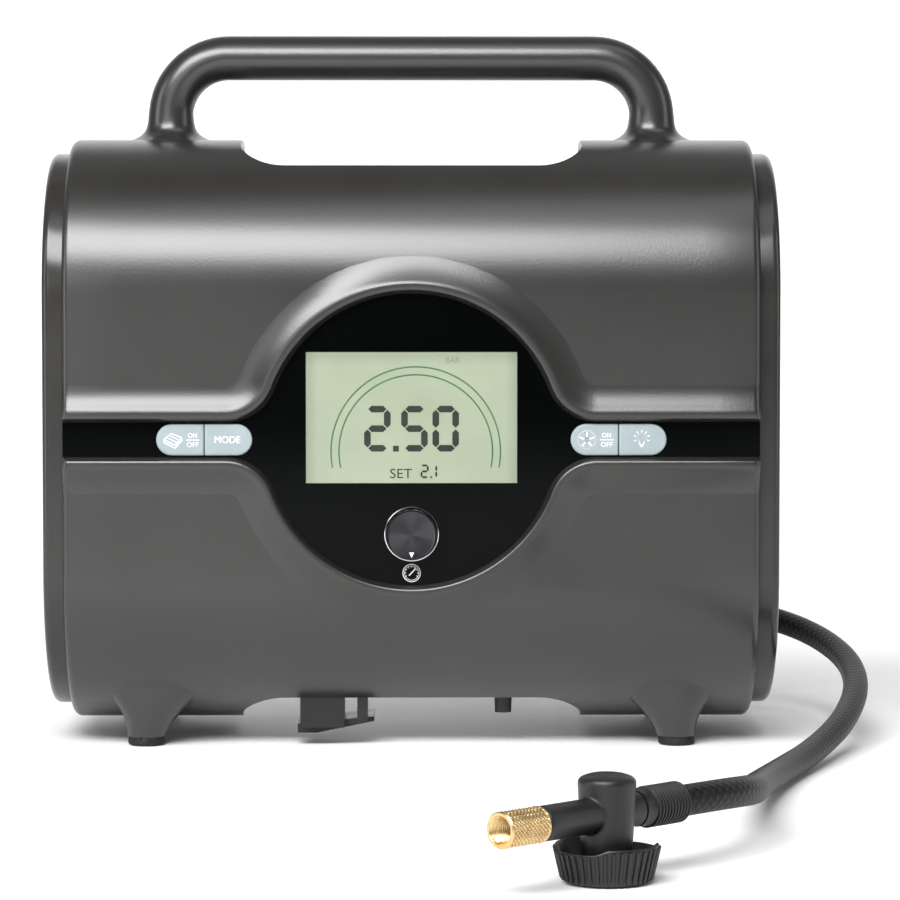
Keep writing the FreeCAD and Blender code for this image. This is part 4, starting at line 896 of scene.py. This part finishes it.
board = grained("solder_resist_board", "0e3a1d", "14492a", 3, (0.25, 0.45), 0.8, 0.3, Specular_IOR_Level=0.5)
light_box = grained("white_light_box", "dcdcd6", "e6e6e0", 20, (0.5, 0.6), 1.0, 0.08)
brass_plain = grained("drawn_brass", "a98a4e", "c9a765", 5, (0.25, 0.4), 0.4, 0.1, Metallic=1.0)
paint(board, "control_board", "lamp_board")
paint(light_box, "lcd_frame")
paint(zinc, "board_screws", "encoder_shaft")
paint(nylon, "tact_switches", "encoder")
paint(brass_plain, "inlet_pins")

# ------------------------------------------------------------------ compressor
# Die-cast aluminium frame, cylinder, head, piston and rod; a steel motor can; an acetal
# crank gear on a brass pinion. Castings keep a rough skin, the steel is bright.

cast = grained("die_cast_aluminium", "8d8e90", "a9aaac", 6, (0.4, 0.6), 0.7, 0.5, Metallic=1.0)
acetal = grained("natural_acetal", "ddd9cc", "e8e5da", 8, (0.3, 0.4), 0.6, 0.08)
rubber = grained("nitrile_rubber", "111111", "242424", 4, (0.6, 0.8), 0.4, 0.3, Specular_IOR_Level=0.35)
paint(cast, "compressor_frame", "cylinder", "cylinder_head", "piston", "connecting_rod")
paint(zinc, "compressor_motor", "motor_shaft", "crank_shaft", "piston_pin")
paint(brass_plain, "crank_bush", "motor_pinion")
paint(acetal, "crank_gear")
paint(nylon, "cooling_fan", "air_manifold", "pressure_sensor")
paint(rubber, "piston_seal", "air_line")

# ------------------------------------------------------------------ blower
# A second motor with a radial fan in a black nylon scroll, for air beds.

paint(zinc, "blower_motor", "blower_shaft")
paint(nylon, "blower_impeller", "blower_housing")

# ------------------------------------------------------------------ hose gland
# A soft rubber gland, pushed through the wall of the recess, keeps the hose from kinking
# where it leaves the casing.

from_cad("rubber_hose_gland", "hose_gland", "casing", rubber)

# ------------------------------------------------------------------ air hose
# A rubber hose with a black polyester braid, bent by hand as it lies. It comes out of the
# gland in the recess, goes round the right end of the casing and runs to the tyre head.

HOSE_ROUTE = [
    (-0.052, 0.015, 0.060), (-0.026, 0.015, 0.060), (0.002, 0.026, 0.0585), (0.028, 0.048, 0.0555),
    (0.054, 0.080, 0.051), (0.090, 0.098, 0.046), (0.130, 0.093, 0.041), (0.160, 0.065, 0.0355),
    (0.175, 0.027, 0.028), (0.1765, -0.015, 0.0205), (0.166, -0.062, 0.012), (0.149, -0.108, 0.0062),
    (0.133, -0.152, 0.0053), (0.1215, -0.200, 0.008), (0.114, -0.248, 0.013), (0.110, -0.288, 0.018),
    (0.0989, -0.3163, 0.021), (0.0821, -0.3334, 0.021)]
HOSE_RADIUS = 0.0049
HOSE_SIDES = 28

route = bpy.data.curves.new("hose_route", "CURVE")
route.dimensions = "3D"
spline = route.splines.new("NURBS")
spline.points.add(len(HOSE_ROUTE) - 1)
for point, place in zip(spline.points, HOSE_ROUTE):
    point.co = (*place, 1.0)
spline.order_u = 3
spline.use_endpoint_u = True
spline.resolution_u = 14
route_object = bpy.data.objects.new("hose_route", route)
bpy.context.scene.collection.objects.link(route_object)
bpy.context.view_layer.update()
line = bpy.data.meshes.new_from_object(route_object.evaluated_get(bpy.context.evaluated_depsgraph_get()))
hose_line = [vertex.co.copy() for vertex in line.vertices]
bpy.data.objects.remove(route_object)

# Braided polyester: sixteen flat yarns each way round cross at about 45 degrees, dull along
# their crowns, with black gaps between. Each yarn's colour has a painted highlight along its crown and
# painted shade towards the gaps.
braid, tree, shader = new_material("braided_polyester", Roughness=0.5, Specular_IOR_Level=0.22,
                                   Sheen_Weight=0.03, Sheen_Roughness=0.4)
around = add_node(tree, "ShaderNodeAttribute", attribute_name="hose_uv")
split = add_node(tree, "ShaderNodeSeparateXYZ", {"Vector": around.outputs["Vector"]})
YARNS_ROUND = 16
YARN_MM = 1.9
turns = maths(tree, "MULTIPLY", split.outputs["X"], float(YARNS_ROUND))
rows = maths(tree, "DIVIDE", split.outputs["Y"], YARN_MM)
waves = [maths(tree, "PINGPONG", maths(tree, operation, turns, rows), 1.0)
         for operation in ("ADD", "SUBTRACT")]
crown = maths(tree, "MULTIPLY", *waves)
fray = add_node(tree, "ShaderNodeTexNoise", {"Scale": 900.0, "Detail": 3.0})
tone = maths(tree, "MULTIPLY", crown, fray.outputs["Fac"])
# Painted highlight and shade: the yarns' colour is lighter along their crowns and darker towards the gaps
# between them.
crown_highlight_gap_shade = add_node(tree, "ShaderNodeValToRGB", {"Fac": tone})
crown_highlight_gap_shade.color_ramp.elements[0].color = hex_colour("040404")
crown_highlight_gap_shade.color_ramp.elements[1].color = hex_colour("161616")
crown_highlight_gap_shade.color_ramp.elements[1].position = 0.55
tree.links.new(crown_highlight_gap_shade.outputs["Color"], shader.inputs["Base Color"])
bump = add_node(tree, "ShaderNodeBump", {"Strength": 0.6, "Distance": 0.0003, "Height": crown})
tree.links.new(bump.outputs["Normal"], shader.inputs["Normal"])

hose_rings, hose_lengths = rings_along(hose_line, lambda place, length: HOSE_RADIUS, HOSE_SIDES)
air_hose = loft("braided_air_hose", hose_rings, braid, 60)
coordinates = air_hose.data.attributes.new("hose_uv", "FLOAT_VECTOR", "CORNER")
vertex_place = {}
for row, ring in enumerate(hose_rings):
    for k in range(HOSE_SIDES):
        vertex_place[tuple(round(c, 6) for c in ring[k])] = (k / HOSE_SIDES, hose_lengths[row] / MM)
for polygon in air_hose.data.polygons:
    marks = []
    for loop in polygon.loop_indices:
        co = air_hose.data.vertices[air_hose.data.loops[loop].vertex_index].co
        marks.append(vertex_place.get(tuple(round(c, 6) for c in co), (0.0, 0.0)))
    wraps = max(m[0] for m in marks) - min(m[0] for m in marks) > 0.5
    for loop, (u, v) in zip(polygon.loop_indices, marks):
        coordinates.data[loop].vector = (u + 1 if wraps and u < 0.5 else u, v, 0)
fitted(air_hose, "casing", "air_hose")

# ------------------------------------------------------------------ tyre head
# A moulded nylon body clamped on the end of the hose: an upright barrel with a branch each way
# along one level line. It stands in its ribbed thumb wheel on the floor.

HEAD = Vector((0.059, -0.357, 0.021))
HEAD_TURN = math.radians(225.57)
HEAD_AXIS = Vector((math.cos(HEAD_TURN), math.sin(HEAD_TURN), 0))
UP = Vector((0, 0, 1))


def rounded(profile, radius, steps=5):
    """The same outline with its outer corners rounded, for turned pieces."""
    result = [profile[0]]
    for before, corner, after in zip(profile, profile[1:], profile[2:]):
        a = Vector(before) - Vector(corner)
        b = Vector(after) - Vector(corner)
        reach = min(radius, a.length * 0.45, b.length * 0.45)
        start = Vector(corner) + a.normalized() * reach
        end = Vector(corner) + b.normalized() * reach
        for step in range(steps + 1):
            t = step / steps
            point = start * (1 - t) ** 2 + Vector(corner) * 2 * t * (1 - t) + end * t ** 2
            result.append(tuple(point))
    result.append(profile[-1])
    return result


barrel_profile = rounded([(0, 0), (7.4, 0), (8.2, 13), (9.0, 28.6), (5.0, 30.1), (0, 30.3)], 1.6)
barrel = turned("head_barrel", barrel_profile, Vector((HEAD.x, HEAD.y, 0.0031)), UP, nylon)
branch_profile = rounded([(0, 0), (5.4, 0), (5.4, 41.6), (5.1, 43.2), (3.0, 43.3), (3.0, 48.4), (0, 48.4)],
                         0.35)
branch = turned("head_branch", branch_profile, HEAD - HEAD_AXIS * 13 * MM, HEAD_AXIS, nylon)
stem = turned("head_stem", [(0, 0), (3.0, 0), (3.0, 4), (0, 4)], Vector((HEAD.x, HEAD.y, 0.0006)), UP,
              nylon, 32)


def joined(name, pieces, material, smooth_angle=35):
    """One object from several closed meshes, united."""
    base = pieces[0]
    for piece in pieces[1:]:
        union = base.modifiers.new("union", "BOOLEAN")
        union.operation = "UNION"
        union.solver = "EXACT"
        union.object = piece
    bpy.context.view_layer.update()
    mesh = bpy.data.meshes.new_from_object(base.evaluated_get(bpy.context.evaluated_depsgraph_get()))
    for piece in pieces:
        bpy.data.objects.remove(piece)
    shape = bpy.data.objects.new(name, mesh)
    bpy.context.scene.collection.objects.link(shape)
    finish_mesh(shape, material, smooth_angle)
    return shape


head_body = joined("tyre_head_body", [barrel, branch, stem], nylon, 50)
soften = head_body.modifiers.new("remesh", "REMESH")
soften.mode = "VOXEL"
soften.voxel_size = 0.00042
relax = head_body.modifiers.new("relax", "SMOOTH")
relax.factor = 0.5
relax.iterations = 5
applied(head_body, 50)
fitted(head_body, "casing", "hose_head")

# The collar is crimped over the hose and has turned ribs like a coarse thread.
COLLAR_RIBS = 11
COLLAR_LONG = 20.0
collar_profile = [(0, 0), (5.5, 0), (6.1, 0.4)]
pitch = (COLLAR_LONG - 4.5) / COLLAR_RIBS
for rib in range(COLLAR_RIBS):
    base = 0.5 + rib * pitch
    collar_profile += [(radius, base + share * pitch)
                       for radius, share in ((5.6, 0), (6.45, 0.3), (6.45, 0.62), (5.6, 0.9))]
collar_profile += [(5.9, COLLAR_LONG - 4.0), (5.6, COLLAR_LONG - 3.4), (5.6, COLLAR_LONG), (0, COLLAR_LONG)]
collar = turned("ribbed_hose_collar", collar_profile, HEAD - HEAD_AXIS * 33 * MM, HEAD_AXIS, nylon, 64, 50)
fitted(collar, "casing", "hose_collar")

# The brass nut is turned from bar, diamond knurled outside and threaded inside, and spins
# freely on the branch. The knurl's diamonds are 1.5 mm across and 0.4 mm deep.
NUT_LONG = 17.0
NUT_START = HEAD + HEAD_AXIS * 30.5 * MM
SPIGOT_END = HEAD + HEAD_AXIS * 35.5 * MM
KNURLS = 24
brass = grained("turned_brass", "cdab74", "e4ca9c", 5, (0.30, 0.42), 0.5, 0.12, Metallic=1.0)


def knurl(radius, height, turn):
    """A diamond knurl on the outside, faded out at both ends, and a thread inside the mouth."""
    if radius > 5.2:
        fade = min(1.0, max(0.0, (height - 0.6) / 0.4), max(0.0, (NUT_LONG - 0.6 - height) / 0.4))
        lean = height / 5.6
        ways = [abs(((KNURLS * (turn + way) / (2 * math.pi)) % 1) * 2 - 1) for way in (lean, -lean)]
        return radius - 0.42 * fade * max(ways) ** 2
    if 3.6 < radius < 4.2 and 8.2 < height < 16.4:
        return radius + 0.22 * (math.sin(turn + 2 * math.pi * height / 0.9) - 1)
    return radius


nut_profile = [(3.05, 0), (5.1, 0), (5.6, 0.5)]
nut_profile += [(5.6, 0.5 + 0.16 * step) for step in range(1, 100)]
nut_profile += [(5.6, 16.5), (5.2, 17.0), (4.4, 17.0), (4.07, 16.6)]
nut_profile += [(4.07, 16.4 - 0.12 * step) for step in range(1, 68)]
nut_profile += [(3.4, 8.0), (3.4, 4.7), (3.05, 4.7)]
nut = ring_solid("knurled_brass_nut", nut_profile, NUT_START, HEAD_AXIS, brass, 180, 40, knurl)
fitted(nut, "valve_nut", "brass_nut")

pin_profile = rounded([(0, 0), (0.9, 0), (0.9, 3.8), (0.6, 4.6), (0, 4.6)], 0.2)
pin = turned("valve_core_pin", pin_profile, SPIGOT_END, HEAD_AXIS, brass, 32)
fitted(pin, "casing", "valve_pin")

seal_profile = rounded([(1.0, 0.02), (3.08, 0.02), (3.08, 1.75), (1.0, 1.75), (1.0, 0.03)], 0.3)
seal = ring_solid("valve_seal_washer", seal_profile, SPIGOT_END, HEAD_AXIS, rubber, 48)
fitted(seal, "casing", "nut_seal")

# The thumb wheel is a moulded nylon cup round the foot of the head, with rounded finger
# ribs all round and a rim that dips where the branches pass over it.
WHEEL_RIBS = 38
WHEEL_TOP = 0.012
DIP_FROM = 0.0085
DIP_DEEP = 0.0016

wheel_profile = [(3.05, 0.3), (12.0, 0.3), (13.0, 0.6), (13.5, 1.4)]
wheel_profile += [(13.5 + 2.3 * step / 14, 1.4 + 9.6 * step / 14) for step in range(1, 15)]
wheel_profile += [(15.85, 11.6), (15.5, 11.95), (15.0, 11.9), (14.6, 11.3), (12.9, 4.0), (12.1, 3.0),
                  (10.5, 2.8), (3.05, 2.8)]
cup = ring_solid("wheel_cup", wheel_profile, Vector((HEAD.x, HEAD.y, 0)), UP, nylon, 152, 50)
rib_line = [Vector((13.55 + 2.4 * k / 9, 0, 1.0 + 10.2 * k / 9)) * MM for k in range(10)]


def rib_radius(place, length):
    """Radius of a finger rib, narrowed at its lower end."""
    return 0.62 * MM * min(1.0, 0.35 + length / (1.2 * MM))


finger_rib = loft("finger_rib", rings_along(rib_line, rib_radius, 10)[0], nylon, 60)

tree = bpy.data.node_groups.new("ribs_round_a_wheel", "GeometryNodeTree")
for label, kind in (("Geometry", "Geometry"), ("Count", "Int"), ("Rib", "Object"), ("Centre", "Vector"),
                    ("Material", "Material")):
    tree.interface.new_socket(label, in_out="INPUT", socket_type="NodeSocket" + kind)
tree.interface.new_socket("Geometry", in_out="OUTPUT", socket_type="NodeSocketGeometry")
given = add_node(tree, "NodeGroupInput")
rib = add_node(tree, "GeometryNodeObjectInfo", {"Object": given.outputs["Rib"]})
places = add_node(tree, "GeometryNodePoints",
                  {"Count": given.outputs["Count"], "Position": given.outputs["Centre"]})
number = add_node(tree, "GeometryNodeInputIndex")
share = maths(tree, "DIVIDE", number.outputs[0], given.outputs["Count"])
headings = add_node(tree, "ShaderNodeCombineXYZ", {"Z": maths(tree, "MULTIPLY", share, 2 * math.pi)})
spread = add_node(tree, "GeometryNodeInstanceOnPoints",
                  {"Points": places.outputs[0], "Instance": rib.outputs["Geometry"],
                   "Rotation": headings.outputs[0]})
real = add_node(tree, "GeometryNodeRealizeInstances", {"Geometry": spread.outputs[0]})
both = add_node(tree, "GeometryNodeJoinGeometry")
tree.links.new(given.outputs["Geometry"], both.inputs[0])
tree.links.new(real.outputs[0], both.inputs[0])
coat = add_node(tree, "GeometryNodeSetMaterial",
                {"Geometry": both.outputs[0], "Material": given.outputs["Material"]})
add_node(tree, "NodeGroupOutput", {"Geometry": coat.outputs[0]})

ribs = cup.modifiers.new("ribs", "NODES")
ribs.node_group = tree
values = {"Count": WHEEL_RIBS, "Rib": finger_rib, "Centre": (HEAD.x, HEAD.y, 0.0), "Material": nylon}
for item in tree.interface.items_tree:
    if item.in_out == "INPUT" and item.name in values:
        ribs[item.identifier] = values[item.name]
thumb_wheel = applied(cup, 50)
thumb_wheel.name = "ribbed_thumb_wheel"
bpy.data.objects.remove(finger_rib)
for vertex in thumb_wheel.data.vertices:
    offset = Vector((vertex.co.x - HEAD.x, vertex.co.y - HEAD.y))
    if vertex.co.z > DIP_FROM:
        near = max(0.0, (abs(offset.normalized().dot(HEAD_AXIS.xy)) - 0.70) / 0.30)
        share = (vertex.co.z - DIP_FROM) / (WHEEL_TOP - DIP_FROM)
        vertex.co.z -= DIP_DEEP * (0.5 - 0.5 * math.cos(math.pi * min(1.0, near * 1.3))) * share
fitted(thumb_wheel, "thumb_lock", "thumb_wheel")

low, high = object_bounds()
